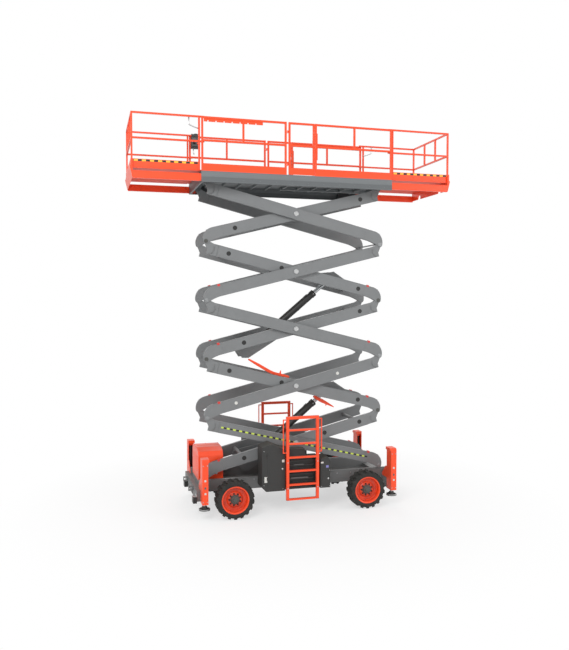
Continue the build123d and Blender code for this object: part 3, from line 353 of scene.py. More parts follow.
def scuffedSurface(name, hexColour, shade, patches, detail, rough, spread, settings=None):
    # a colour that darkens to a share of itself in patches, and a gloss broken by the same patches
    mat, tree, place = freshMaterial(name)
    cloud = addNode(tree, "ShaderNodeTexNoise", {"Scale": patches, "Detail": detail}, {"Vector": place})
    base = toLinear(hexColour)
    dark = [c * shade for c in base[:3]] + [1]
    tone = addNode(tree, "ShaderNodeMix", {"data_type": "RGBA", 6: dark, 7: base}, {0: cloud})
    rub = addNode(tree, "ShaderNodeMapRange", {"To Min": rough - spread[0], "To Max": rough + spread[1]},
                  {"Value": cloud})
    shader = addNode(tree, "ShaderNodeBsdfPrincipled", settings,
                     {"Base Color": tone.outputs[2], "Roughness": rub})
    addNode(tree, "ShaderNodeOutputMaterial", None, {"Surface": shader})
    return mat


def brightMetal(name, hexColour, rough, grainScale):
    # bare machined or zinc-plated steel: a metal whose gloss is broken by fine turning marks
    return scuffedSurface(name, hexColour, 0.86, grainScale, 4.0, rough, (0.06, 0.10), {"Metallic": 1.0})


def plainVinyl(name, hexColour, rough):
    # blank vinyl plate: printed film with nothing on it, a little yellowed and scuffed
    return scuffedSurface(name, hexColour, 0.82, 24.0, 5.0, rough, (0.05, 0.12))


def stripedTape(name, lightHex, darkHex, pitch):
    # reflective vinyl tape: alternate bars along the piece's own UV, in metres, with a slight sheen
    mat, tree, place = freshMaterial(name)
    along = addNode(tree, "ShaderNodeUVMap", {"uv_map": "along"}).outputs["UV"]
    u = addNode(tree, "ShaderNodeSeparateXYZ", None, {"Vector": along}).outputs["X"]
    beat = addNode(tree, "ShaderNodeMath", {"operation": "DIVIDE", 1: pitch}, {0: u})
    part = addNode(tree, "ShaderNodeMath", {"operation": "FRACT"}, {0: beat})
    bar = addNode(tree, "ShaderNodeMath", {"operation": "GREATER_THAN", 1: 0.5}, {0: part})
    tone = addNode(tree, "ShaderNodeMix", {"data_type": "RGBA", 6: toLinear(darkHex), 7: toLinear(lightHex)},
                   {0: bar})
    scuff = addNode(tree, "ShaderNodeTexNoise", {"Scale": 30.0, "Detail": 4.0}, {"Vector": place})
    rub = addNode(tree, "ShaderNodeMapRange", {"To Min": 0.3, "To Max": 0.5}, {"Value": scuff})
    shader = addNode(tree, "ShaderNodeBsdfPrincipled", None,
                     {"Base Color": tone.outputs[2], "Roughness": rub})
    addNode(tree, "ShaderNodeOutputMaterial", None, {"Surface": shader})
    return mat


def treadPlate(name, lowHex, highHex, sideHex, tint=None):
    # steel deck plate, rolled with short raised bars that alternate in direction every 40 mm; its edges
    # and its underside are painted
    mat, tree, place = freshMaterial(name)
    cloud = addNode(tree, "ShaderNodeTexNoise", {"Scale": 4.0, "Detail": 7.0, "Roughness": 0.6}, {"Vector": place})
    tone = addNode(tree, "ShaderNodeMix", {"data_type": "RGBA", 6: toLinear(lowHex), 7: toLinear(highHex)},
                   {0: cloud})
    normal = addNode(tree, "ShaderNodeNewGeometry").outputs["Normal"]
    up = addNode(tree, "ShaderNodeSeparateXYZ", None, {"Vector": normal}).outputs["Z"]
    beside = addNode(tree, "ShaderNodeMath", {"operation": "LESS_THAN", 1: 0.6}, {0: up})
    most = addNode(tree, "ShaderNodeMath", {"operation": "MULTIPLY", 1: 0.86}, {0: beside})
    colour = addNode(tree, "ShaderNodeMix", {"data_type": "RGBA", 7: toLinear(sideHex)},
                     {0: most, 6: tone.outputs[2]}).outputs[2]
    if tint:
        colour = tint(tree, place, colour)
    checker = addNode(tree, "ShaderNodeTexChecker", {"Scale": 25.0}, {"Vector": place})
    bars = addNode(tree, "ShaderNodeMix", {"data_type": "FLOAT"}, {0: checker.outputs["Fac"]})
    for socket, angle in ((2, 45), (3, -45)):
        turned = addNode(tree, "ShaderNodeMapping", {"Rotation": (0, 0, math.radians(angle))}, {"Vector": place})
        wave = addNode(tree, "ShaderNodeTexWave", {"Scale": 16.0}, {"Vector": turned})
        tree.links.new(wave.outputs["Fac"], bars.inputs[socket])
    rolled = addNode(tree, "ShaderNodeMath", {"operation": "SUBTRACT", 0: 1.0}, {1: beside})
    bump = addNode(tree, "ShaderNodeBump", {"Distance": 0.002}, {"Height": bars, "Strength": rolled})
    shader = addNode(tree, "ShaderNodeBsdfPrincipled", {"Roughness": 0.5}, {"Base Color": colour, "Normal": bump})
    addNode(tree, "ShaderNodeOutputMaterial", None, {"Surface": shader})
    return mat


def grainedPlastic():
    # injection-moulded nylon housing: charcoal, with the leathery grain of its mould
    mat, tree, place = freshMaterial("mouldedNylon")
    grain = addNode(tree, "ShaderNodeTexVoronoi", {"Scale": 340.0}, {"Vector": place})
    cloud = addNode(tree, "ShaderNodeTexNoise", {"Scale": 12.0, "Detail": 4.0}, {"Vector": place})
    tone = addNode(tree, "ShaderNodeMix", {"data_type": "RGBA", 6: toLinear("#2A2B2A"), 7: toLinear("#3A3B39")},
                   {0: cloud})
    bump = addNode(tree, "ShaderNodeBump", {"Strength": 0.3, "Distance": 0.0008}, {"Height": grain})
    shader = addNode(tree, "ShaderNodeBsdfPrincipled", {"Roughness": 0.55, "IOR": 1.53},
                     {"Base Color": tone.outputs[2], "Normal": bump})
    addNode(tree, "ShaderNodeOutputMaterial", None, {"Surface": shader})
    return mat


coats = {key: powderCoat("powderCoat_" + key, *values) for key, values in finishes.items()}
# the wheel's dish is painted darker towards its floor: painted shade
rimEnamel = powderCoat("wheelEnamel", "#FB4E22", 0.30, 0.07, 0.05, paintedDishShade)
# slide rails painted darker inside the deck's end, below the deck's top
slidePaint = powderCoat("slidePaintDarkInside", *finishes["signalOrange"], darkenInsideDeckEnd)
rubber = vulcanisedRubber()
zinc = brightMetal("zincPlatedSteel", "#C9CACA", 0.36, 120.0)
chrome = brightMetal("hardChromeRod", "#BFC2C4", 0.22, 60.0)
dullSteel = brightMetal("phosphatedSteel", "#9A9C9D", 0.52, 90.0)
extensionTread = treadPlate("rolledTreadPlate", "#66696A", "#85898B", "#E8431C")
# the deck beam's lower band is painted darker: painted shade under its groove
deckTread = treadPlate("deckTreadPlate", "#66696A", "#85898B", finishes["deckGrey"][0], beamShadeBand)
armTape = stripedTape("yellowGreenTape", "#C8DC50", "#20201E", 0.142)
edgeTape = stripedTape("amberTape", "#FFB83C", "#20201E", 0.165)
paleVinyl = plainVinyl("paleVinyl", "#DADAD4", 0.42)
violetVinyl = plainVinyl("violetVinyl", "#8C8AC8", 0.42)
greyVinyl = plainVinyl("greyVinyl", "#5C5E5E", 0.48)
stopRubber = plainVinyl("castPolyurethane", "#D8403A", 0.40)
mouldedPlastic = grainedPlastic()
# the commonest materials, each paired with a slot name
orange, steel = (coats["signalOrange"], "orange_paint"), (zinc, "jack_steel")
black = (coats["blackEnamel"], "black_paint")

nodeCoats = [  # finish of each solid, by the start of its name
    ("arms", coats["armGrey"]), ("tyre", rubber), ("rim", rimEnamel), ("lift_rod", chrome), ("jack_leg", zinc),
    ("platform_frame", deckTread), (("extension_left_deck", "extension_right_deck"), extensionTread),
    ("extension", slidePaint), (("bays", "control_box"), coats["bayCharcoal"]),
    (("end_blocks", "jack_barrels", "engine_block", "lift_barrel"), coats["blackEnamel"]),
    (("chassis_frame", "engine_tray", "steer_axle", "fixed_axle", "knuckle"), coats["chassisGrey"]),
]
for name, obj in nodes.items():
    obj.data.materials.clear()
    mats = [mat for start, mat in nodeCoats if name.startswith(start)] + [coats["signalOrange"]]
    obj.data.materials.append(mats[0])
print("stage: finishes on the solids")

# wheels

wheel = {"x": 1.505, "y": 1.070, "z": 0.420, "lugs": 18, "slant": 0.32, "shoulder": 0.12,
         "discFace": 0.058, "hubRadius": 0.104, "nuts": 9, "nutCircle": 0.126,
         "stemAngle": 1.1, "stemCircle": 0.236, "stemFace": 0.034}

# across the tyre from the outer bead to the middle: radius and half width, bare and on a lug
tyreWall = [(.2860, .1200), (.2975, .1300), (.2978, .1380), (.3060, .1430), (.3200, .1462), (.3380, .1485),
            (.3520, .1490)]
tyreBare = tyreWall + [(.3620, .1475), (.3740, .1430), (.3840, .1355), (.3900, .1240), (.3920, .1100), (.3920, .0900),
                       (.3920, .0560), (.3920, .0230), (.3920, .0140), (.3920, 0)]
tyreLug = tyreWall + [(.3640, .1495), (.3800, .1495), (.3970, .1475), (.4140, .1350), (.4180, .1190), (.4195, .0900),
                      (.4195, .0560), (.4185, .0240), (.3980, .0160), (.3920, 0)]
lugStations = np.array([.26, .29, .43, .57, .71, .74, .76, .79, .93, 1.07, 1.21, 1.24])
hubProfile = [(0, 0), (wheel["hubRadius"], 0), (wheel["hubRadius"], .010), (.099, .015), (.090, .017),
              (.086, .022), (.084, .050), (.079, .057), (.058, .060), (.054, .064), (.052, .074), (.046, .081),
              (.020, .084), (0, .084)]


def luggedTyre(centre, side):
    # ring P(a, k) = centre + r (cos a x + sin a z) + y: the profile swings between bare and lug by a 0/1 mask
    # per column, half a pitch apart on the two shoulders, and a is pushed on by the slant towards the middle
    bare, lug = np.array(tyreBare), np.array(tyreLug)
    columns = (np.arange(wheel["lugs"])[:, None] + lugStations[None]).ravel()
    f = np.tile(lugStations, wheel["lugs"])
    outer, inner = (bare + ((f > start) & (f < start + .44))[:, None, None] * (lug - bare) for start in (.28, .78))
    r = np.concatenate([outer[..., 0], inner[:, -2::-1, 0]], 1)
    y = np.concatenate([outer[..., 1], -inner[:, -2::-1, 1]], 1)
    push = wheel["slant"] * np.clip(1 - np.abs(y) / wheel["shoulder"], 0, 1)
    a = (columns[:, None] + push) * 2 * np.pi / wheel["lugs"]
    verts = np.stack([centre[0] + r * np.cos(a), centre[1] + side * y, centre[2] + r * np.sin(a)], -1)
    index = np.arange(r.size).reshape(r.shape)
    faces = ringFaces(np.vstack([index, index[:1]]))
    return verts.reshape(-1, 3), faces if side < 0 else [face[::-1] for face in faces]


for corner, way, side in (("steer_far", -1, 1), ("steer_near", -1, -1), ("rear_far", 1, 1), ("rear_near", 1, -1)):
    centre = np.array([way * wheel["x"], side * wheel["y"], wheel["z"]])
    body = "wheel_" + corner
    out = (0, side, 0)
    tyre = meshPiece("lugged_tyre_" + corner, [luggedTyre(centre, side)], rubber, "tyre_rubber", body, smooth=38)
    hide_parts("tyre_" + corner)
    face = centre + (0, side * wheel["discFace"], 0)
    meshPiece("wheel_hub_" + corner, [turnedPart(hubProfile, face, out, 48)], coats["hubGrey"], "chassis_paint", body,
              smooth=30)
    parts = []
    for a in (np.arange(wheel["nuts"]) + 0.5) * 2 * np.pi / wheel["nuts"]:
        seat = face + wheel["nutCircle"] * np.array([math.cos(a), 0, math.sin(a)])
        parts += [turnedPart([(0, -.001), (.0195, -.001), (.0195, .003), (.0165, .011), (0, .011)], seat, out, 12),
                  turnedPart([(0, .009), (.0135, .009), (.0135, .026), (.0115, .028), (0, .028)], seat, out, 6),
                  turnedPart([(0, .026), (.0070, .026), (.0070, .037), (.0055, .039), (0, .039)], seat, out, 10)]
    meshPiece("wheel_nuts_" + corner, parts, coats["blackEnamel"], "chassis_paint", body)
    # weld run where the disc meets the barrel, and a valve stem
    a, r = wheel["stemAngle"], wheel["stemCircle"]
    stem = centre + (r * math.cos(a), side * wheel["stemFace"], r * math.sin(a))
    parts = [turnedPart([(.246, .0335), (.2505, .0315), (.2560, .0360), (.2520, .0400), (.2470, .0375)],
                        centre, out, 64, closed=True),
             turnedPart([(0, -.004), (.008, -.004), (.007, .004), (.0045, .008), (.0045, .030), (0, .031)],
                        stem, out, 10)]
    meshPiece("rim_weld_" + corner, parts, coats["signalOrange"], "rim_paint", body, smooth=180)
print("stage: wheels")

# scissor arms: pin caps, tie-tube plugs, seams, stop pads

arms = {"seamAt": 1.700, "seamReach": 0.124, "edgeTo": 1.796, "edgeAt": 0.117, "headAt": 2.005, "headRadius": 0.118,
        "padAt": 1.772, "padLength": 0.058, "padTop": 0.1425, "padBase": 0.1245, "padFoot": 0.096,
        # the tie tubes' places along the inner arms, from the centre pin towards the upper end
        "ties": {1: (-1.212, 1.600, .725), 2: (-1.560, .325, 1.550), 3: (-1.212, 1.600), 4: (-1.558, .325, 1.559),
                 5: (-1.413, 1.600)},
        "pinEnd": [(0, -.001), (.0455, -.001), (.0455, .0022), (.0440, .0030), (0, .0036)],
        "pinCap": [(0, 0), (.0455, 0), (.0455, .006), (.043, .008), (.028, .009), (.025, .0125), (0, .0135)],
        "pinBolt": [(0, .006), (.006, .006), (.006, .0125), (.005, .0135), (0, .0135)],
        "pivotCap": [(0, 0), (.0535, 0), (.0535, .0135), (.051, .0155), (.040, .0155), (.038, .0140), (.018, .0140),
                     (.016, .0160), (0, .0160)],
        "pivotBolt": [(0, .012), (.0050, .012), (.0050, .0185), (0, .0185)],
        "plug": [(0, -.001), (.0500, -.001), (.0500, .0014), (.0480, .0026), (.0380, .0026), (.0360, .0012),
                 (0, .0012)]}

for stack in range(1, 6):
    for rising in (True, False):
        inner = (stack % 2 == 1) == rising
        body = ("rising" if rising else "falling") + "_arms_%d" % stack
        face, middle = [machine[("inner" if inner else "outer") + which] for which in ("Face", "Middle")]
        low = -1 if rising else 1  # which way along the arm its lower end lies
        ends, bright, caps, dark, seams, beads, pads = [], [], [], [], [], [], []
        for side in (-1, 1):
            out = (0, side, 0)
            pin = np.array([low * machine["armEnd"], side * face, -machine["pinDrop"]])
            if inner:  # flush pin ends between the two layers, plugs in the tie tubes
                ends.append(turnedPart(arms["pinEnd"], pin, out, 32))
                for along in arms["ties"][stack]:
                    dark.append(turnedPart(arms["plug"], (along if rising else -along, side * face, 0), out, 32))
            else:  # domed cap with two bolts, and a plate over the centre pin
                bright.append(turnedPart(arms["pinCap"], pin, out, 36))
                bright += [turnedPart(arms["pinBolt"], pin + (turn, 0, 0), out, 6) for turn in (-.035, .035)]
                centre = np.array([0, side * (face + .0005), 0])
                caps.append(turnedPart(arms["pivotCap"], centre, out, 40))
                for a in np.arange(4) * np.pi / 2 + np.pi / 4:
                    spot = centre + .0455 * np.array([math.cos(a), 0, math.sin(a)])
                    dark.append(turnedPart(arms["pivotBolt"], spot, out, 6))
            # weld seam where the tube runs into the nose plates, and the long edge seams of the folded section
            at, reach = low * arms["seamAt"], arms["seamReach"]
            seams.append(slab(side, (at - .004, at + .004), (face - .001, face + .003), (-reach, reach), .0015))
            for h in (-arms["edgeAt"], arms["edgeAt"]):
                seams.append(slab(side, (-arms["edgeTo"], arms["edgeTo"]), (face - .001, face + .0016),
                                  (h - .0025, h + .0025), .001))
            turn = np.linspace(-1.45, .60, 11)  # round end of the plate that holds the head's pin: a weld bead in the darker chassis grey, painted shade along the plate's edge
            beads.append(tubeAlong(np.column_stack([-low * (arms["headAt"] - arms["headRadius"] * np.cos(turn)),
                                                    np.full(11, side * (face + .0005)),
                                                    arms["headRadius"] * np.sin(turn)]), .0042, 8))
            # rubber stop with a foot that laps over the arm's side
            span = low * arms["padAt"] + np.array([-.5, .5]) * arms["padLength"]
            pads += [slab(side, span, (middle - .024, middle + .024), (arms["padBase"], arms["padTop"]), .0045),
                     slab(side, span, (face - .002, face + .0035), (arms["padFoot"], arms["padTop"]), .0045)]
        if inner:
            meshPiece("pin_ends_" + body, onArm(stack, rising, ends), coats["hubGrey"], "black_paint", body)
        else:
            meshPiece("pin_caps_" + body, onArm(stack, rising, bright), dullSteel, "jack_steel", body)
            meshPiece("pivot_caps_" + body, onArm(stack, rising, caps), *steel, body)
        meshPiece("plugs_" + body, onArm(stack, rising, dark), *black, body)
        # the beads are painted darker than the arm: painted shade along the nose plate's round end
        meshPiece("weld_beads_painted_shade_" + body, onArm(stack, rising, beads), coats["chassisGrey"], "arm_paint", body,
                  smooth=180)
        meshPiece("weld_seams_" + body, onArm(stack, rising, seams), coats["armGrey"], "arm_paint", body)
        if stack < 5:
            meshPiece("stop_pads_" + body, onArm(stack, rising, pads), stopRubber, "orange_paint", body)

# tape along the lowest outer arms, and blank discs on the second stack's rising arms
tape = {"x": (-1.76, 1.77), "y": (0.6375, 0.6392), "z": (-0.013, 0.021)}
for side, sideName in sides:
    verts, faces = slab(side, tape["x"], tape["y"], tape["z"], .0004)
    meshPiece("arm_tape_" + sideName, onArm(1, False, [(verts, faces)]), armTape, "arm_paint", "falling_arms_1",
              uv=verts[:, [0, 2]])
for side, sideName in sides:
    parts = [turnedPart([(0, 0), (.036, 0), (.036, .0012), (0, .0012)], (at, side * machine["outerFace"], .012),
                        (0, side, 0), 28) for at in (-1.41, 1.016)]
    meshPiece("arm_discs_" + sideName, onArm(2, True, parts), paleVinyl, "arm_paint", "rising_arms_2")
print("stage: arms")

# safety bars that hold the arms up for service: a long one on top and a short hooked one below

safety = {"y": -0.350, "halfWidth": 0.028, "halfThin": 0.012, "edge": 0.004, "hinge": (-.500, .156),
          # along the arm, square to it, depth of the bar there
          "long": [(-1.145, .334, .022), (-1.120, .326, .040), (-.900, .262, .064), (-.620, .176, .070),
                   (-.500, .156, .060), (-.160, .152, .052), (-.130, .150, .040)],
          "longFoot": [(-.325, .044, .090), (-.325, .135, .140)],
          "longTab": [(-.345, .160, .050), (-.350, .215, .030), (-.352, .250, .012)],
          "short": [(.560, -.160, .044), (.640, -.183, .070), (.780, -.219, .084), (.930, -.256, .058),
                    (1.040, -.284, .034), (1.094, -.300, .016)],
          "shortArm": [(1.085, -.020, .060), (1.030, -.036, .062), (.820, -.070, .058), (.640, -.106, .060),
                       (.588, -.150, .058)],
          "shortTab": [(.900, -.270, .030), (.905, -.312, .010)]}


def taperedBar(path, halfWidth):
    # flat bar of changing depth: at each point the two edges lie half the depth away, along the mean normal,
    # and its four long edges are cut back
    p, deep = np.asarray(path, float)[:, :2], np.asarray(path, float)[:, 2]
    step = np.diff(p, axis=0)
    step /= np.linalg.norm(step, axis=1)[:, None]
    along = np.vstack([step[:1], step[:-1] + step[1:], step[-1:]])
    along /= np.linalg.norm(along, axis=1)[:, None]
    normal = np.stack([-along[:, 1], along[:, 0]], 1)
    cut, wide = safety["edge"], halfWidth - safety["edge"]
    rows = []
    for sign, inset, y in ((-1, cut, -halfWidth), (-1, 0, -wide), (-1, 0, wide), (-1, cut, halfWidth),
                           (1, cut, halfWidth), (1, 0, wide), (1, 0, -wide), (1, cut, -halfWidth)):
        edge = p + normal * (sign * (deep / 2 - inset))[:, None]
        rows.append(np.column_stack([edge[:, 0], np.full(len(p), safety["y"] + y), edge[:, 1]]))
    return shellOf(rows)


bars = {key: taperedBar(path, safety["halfWidth"] if key in ("long", "short") else safety["halfThin"])
        for key, path in safety.items() if isinstance(path, list)}
hinge = turnedPart([(0, -.040), (.012, -.040), (.016, -.036), (.016, .036), (.012, .040), (0, .040)],
                   (safety["hinge"][0], safety["y"], safety["hinge"][1]), (0, 1, 0), 16)
longBar = meshPiece("safety_bar_long", onArm(2, False, [bars["long"], bars["longFoot"], bars["longTab"], hinge]),
                    *orange, "falling_arms_2")
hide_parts("safety_props")
meshPiece("safety_bar_short", onArm(2, False, [bars["short"], bars["shortArm"], bars["shortTab"]]),
          *orange, "falling_arms_2")
print("stage: safety bars")

# lift cylinders: gland, weld rings, pipe, clamps and valve

cylinder = {"lowerEye": (-1.055, 0, -0.265), "upperEye": (1.050, 0, 0.165), "barrelRadius": 0.076,
            "barrelLength": 2.060, "rodRadius": 0.047, "pipeRadius": 0.010,
            "pipe": (0.094, 0.030), "port": (0.070, 0.022)}  # outwards and upwards from the barrel's axis
r, rod, top = (cylinder[key] for key in ("barrelRadius", "rodRadius", "barrelLength"))
fittings = {"foot": [(r - .002, .108), (r + .008, .112), (r + .010, .122), (r + .004, .134), (r - .002, .138)],
            "ringLow": [(r - .002, .600), (r + .004, .600), (r + .004, .625), (r - .002, .625)],
            "ringHigh": [(r - .002, 1.500), (r + .004, 1.500), (r + .004, 1.525), (r - .002, 1.525)]}
gland = [(rod + .0005, -.070), (r + .006, -.070), (r + .006, -.020), (r + .002, -.012), (r - .010, -.004),
         (r - .012, .006), (rod + .004, .010), (rod + .0005, .008)]
blocks = [((s - .012, .060, .012), (s + .012, .108, .048), .003) for s in (.420, .980, 1.540)]  # the pipe's clamps
blocks.append(((.160, .058, -.030), (.245, .128, .042), .005))  # the valve that holds the load
blocks += [((.185, .126, h - .008), (.205, .140, h + .008), .003) for h in (-.012, .024)]
for stack, name in ((1, "lower"), (3, "upper")):
    body = "lift_barrel_" + name
    a = armPoints(stack, True, [cylinder["lowerEye"]])[0]
    b = armPoints(stack + 1, False, [cylinder["upperEye"]])[0]
    d = (b - a) / np.linalg.norm(b - a)
    side = np.array([0, 1.0, 0])
    lift = np.cross(side, d) * np.sign(np.cross(side, d)[2])
    parts = [turnedPart(profile, a, d, 40, closed=True) for profile in fittings.values()]
    line, port = (side * away + lift * up for away, up in (cylinder["pipe"], cylinder["port"]))
    route = ((.250, port), (.250, line), (.300, line), (1.880, line), (1.930, line), (1.930, port))
    parts.append(tubeAlong([a + d * s + off for s, off in route], cylinder["pipeRadius"], 12, 0.020))
    meshPiece("barrel_fittings_" + name, parts, coats["blackEnamel"], "barrel_paint", body, smooth=35)
    parts = [turnedPart(gland, a + d * top, d, 48, closed=True)]
    for t in np.arange(6) * math.pi / 3:
        ray = math.cos(t) * side + math.sin(t) * lift
        parts.append(turnedPart([(0, 0), (.009, 0), (.009, .005), (0, .006)],
                                a + d * (top - .045) + (r + .003) * ray, ray, 12))
    meshPiece("gland_" + name, parts, *steel, body, smooth=35)
    parts = [(a + verts @ np.stack([d, side, lift]), faces) for verts, faces in (softBox(*block) for block in blocks)]
    meshPiece("pipe_clamps_" + name, parts, *steel, body)
print("stage: cylinders")

# hood: creases, latches, louvres and vents

hood = {"halfWidth": 0.440, "louvres": 7, "louvrePitch": 0.052, "louvreHalf": 0.26, "latchHeight": 0.80,
        "bail": ((-.014, .012, .09), (-.014, .026, .06), (.014, .026, .06), (.014, .012, .09))}
lo, hi = (np.array(p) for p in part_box("hood"))
across = [(.440, lo[2] + .004), (.440, hi[2] - .155), (.400, hi[2] - .060), (.200, hi[2]), (-.200, hi[2]),
          (-.400, hi[2] - .060), (-.440, hi[2] - .155), (-.440, lo[2] + .004)]


def bandOver(path, x0, x1, proud):
    # band of width x1 - x0 over a path in the y-z plane: each corner is set out along the mean of its two normals
    p = np.asarray(path, float)
    step = np.diff(p, axis=0)
    normal = np.stack([-step[:, 1], step[:, 0]], 1)
    normal /= np.linalg.norm(normal, axis=1)[:, None]
    if np.dot(normal[0], p[0] - p.mean(0)) < 0:
        normal = -normal
    n = np.vstack([normal[:1], normal[:-1] + normal[1:], normal[-1:]])
    n /= np.linalg.norm(n, axis=1)[:, None]
    low, high = p - n * .001, p + n * proud
    rows = ((x0, low), (x0, high), (x1, high), (x1, low))
    return shellOf([np.column_stack([np.full(len(p), x), q]) for x, q in rows])


parts = [bandOver(across, x, x + .014, .0035) for x in (lo[0] + .004, lo[0] + .26, hi[0] - .018)]
parts.append(softBox((lo[0] + .03, -.010, hi[2] - .001), (hi[0] - .02, .010, hi[2] + .0035), .0015))
for side in (-1, 1):
    parts.append(slab(side, (lo[0] + .01, hi[0] - .01), (.4395, .4425), (hi[2] - .420, hi[2] - .408), .001))
meshPiece("hood_creases", parts, *orange, "chassis")
parts = []
z, y = hood["latchHeight"], hood["halfWidth"]
for side in (-1, 1):
    for x in (lo[0] + .11, hi[0] - .15):
        parts += [slab(side, (x - .022, x + .022), (y, y + .012), (z + .02, z + .10), .004),
                  tubeAlong([(x + dx, side * (y + dy), z + dz) for dx, dy, dz in hood["bail"]], .004, 8, .006)]
meshPiece("hood_latches", parts, *steel, "chassis")
parts = []
for k in range(hood["louvres"]):  # louvres on the end face: slats tilted outwards
    z = lo[2] + .18 + k * hood["louvrePitch"]
    slat = ((.002, z), (.002, z + .034), (-.012, z + .004), (-.012, z))
    parts.append(shellOf([[(lo[0] + dx, y, h) for dx, h in slat] for y in (-hood["louvreHalf"], hood["louvreHalf"])]))
meshPiece("hood_louvres", parts, *orange, "chassis")
print("stage: hood")

# equipment bays: doors, hinges, trays in the recess, locks, blank plates

bay = {"outer": 1.080, "doorProud": 0.004, "trays": 7, "trayPitch": 0.098, "trayFace": 1.038,
       "lock": [(0, 0), (.019, 0), (.019, .006), (.016, .008), (.008, .008), (.007, .012), (0, .012)],
       "bolt": [(0, 0), (.008, 0), (.008, .005), (.006, .006), (0, .006)],
       # lower and upper corners, and which of the two faces they lie on
       "plates": {"pale": (paleVinyl, "door", [((-.452, 1.140), (-.396, 1.200)), ((-.846, .716), (-.782, .840)),
                                               ((.440, 1.060), (.500, 1.095))]),
                  "violet": (violetVinyl, "door", [((.560, .960), (.620, 1.010))]),
                  "grey": (greyVinyl, "tray", [((-.17, 1.05), (.06, 1.068)), ((-.24, .752), (.16, .782))])}}
for side, sideName in sides:
    y = bay["outer"]
    out = (0, side, 0)
    skin = (y - .002, y + bay["doorProud"])
    parts = [slab(side, (-.775, -.420), skin, (.640, 1.395), .004),
             slab(side, (-.735, -.460), (y + .002, y + .007), (.700, 1.320), .003),
             slab(side, (.462, .628), skin, (.560, .880), .004), slab(side, (.462, .628), skin, (.905, .925), .003)]
    for z in (.760, 1.260):  # hinge barrels on the door's left edge
        parts.append(turnedPart([(0, 0), (.009, 0), (.009, .070), (0, .070)], (-.785, side * (y + .007), z),
                                (0, 0, 1), 12))
    meshPiece("bay_doors_" + sideName, parts, coats["bayCharcoal"], "bay_paint", "chassis")
    parts = []  # trays in the recess: lips that hang forward
    for z in .560 + np.arange(bay["trays"]) * bay["trayPitch"]:
        parts += [slab(side, (-.300, .300), (.990, 1.036), (z, z + .010), .002),
                  slab(side, (-.300, .300), (1.030, 1.038), (z - .026, z + .010), .002)]
    parts += [slab(side, (x, x + .008), (.992, 1.044), (.530, 1.190), .002) for x in (-.312, .306)]
    meshPiece("bay_trays_" + sideName, parts, coats["blackEnamel"], "bay_paint", "chassis")
    parts = [turnedPart(bay["lock"], (x, side * (y + .004), z), out, 24) for x, z in ((-.440, 1.000), (.610, .720))]
    parts += [turnedPart(bay["bolt"], (x, side * y, z), out, 6) for x, z in
              ((-.855, .660), (-.430, .560), (.450, .545), (.642, .545), (.642, .900), (-.855, 1.400))]
    meshPiece("bay_locks_" + sideName, parts, *steel, "chassis")
    for key, (vinyl, where, spots) in bay["plates"].items():
        front = y + .003 if where == "door" else bay["trayFace"]
        parts = [slab(side, (x0, x1), (front - .003, front + .0015), (z0, z1), .001) for (x0, z0), (x1, z1) in spots]
        meshPiece("blank_plates_%s_%s" % (key, sideName), parts, vinyl, "bay_paint", "chassis")
print("stage: bays")

# ladders: grip strips, stile caps and bolts

ladder = {"y": 1.130, "stile": 0.340, "firstRung": 0.645, "pitch": 0.299, "count": 5, "rungTop": 0.018,
          "halfGrip": 0.300, "teeth": 26, "tooth": 0.0025}


def gripStrip(x0, x1, y0, y1, z, teeth, tall):
    # toothed strip: height z + tall * |2 frac(u) - 1| along x, u counting the teeth, closed underneath
    u = np.linspace(0, teeth, 2 * teeth + 1)
    x = x0 + (x1 - x0) * u / teeth
    top, base = z + tall * np.abs(2 * (u % 1) - 1), np.full(len(x), z - .001)
    rows = ((y0, top), (y1, top), (y1, base), (y0, base))
    return shellOf([np.column_stack([x, np.full(len(x), y), h]) for y, h in rows])


for side, sideName in sides:
    y = ladder["y"]
    tops = ladder["firstRung"] + ladder["rungTop"] + np.arange(ladder["count"]) * ladder["pitch"]
    parts = [gripStrip(-ladder["halfGrip"], ladder["halfGrip"], side * (y - .028), side * (y + .028), z,
                       ladder["teeth"], ladder["tooth"]) for z in tops]
    meshPiece("rung_grips_" + sideName, parts, *orange, "chassis")
    parts = [slab(side, (x - .031, x + .031), (y - .031, y + .031), (.3085, .322), .004)
             for x in (-ladder["stile"], ladder["stile"])]
    meshPiece("stile_caps_" + sideName, parts, *black, "chassis")
    parts = []
    for way in (-1, 1):
        for z in (.575, 1.140):  # bolts through the stiles into the bays
            parts.append(turnedPart(boltHead(.013, .009, .010), (way * ladder["stile"], side * (y + .030), z),
                                    (0, side, 0), 6))
        for z in (1.350, 2.070):  # discs on the stiles' sides
            parts.append(turnedPart([(0, 0), (.022, 0), (.022, .004), (.016, .006), (0, .006)],
                                    (way * (ladder["stile"] + .030), side * y, z), (way, 0, 0), 20))
    meshPiece("ladder_bolts_" + sideName, parts, *steel, "chassis")
print("stage: ladders")

# outriggers: blank spots, seams, bolts and feet

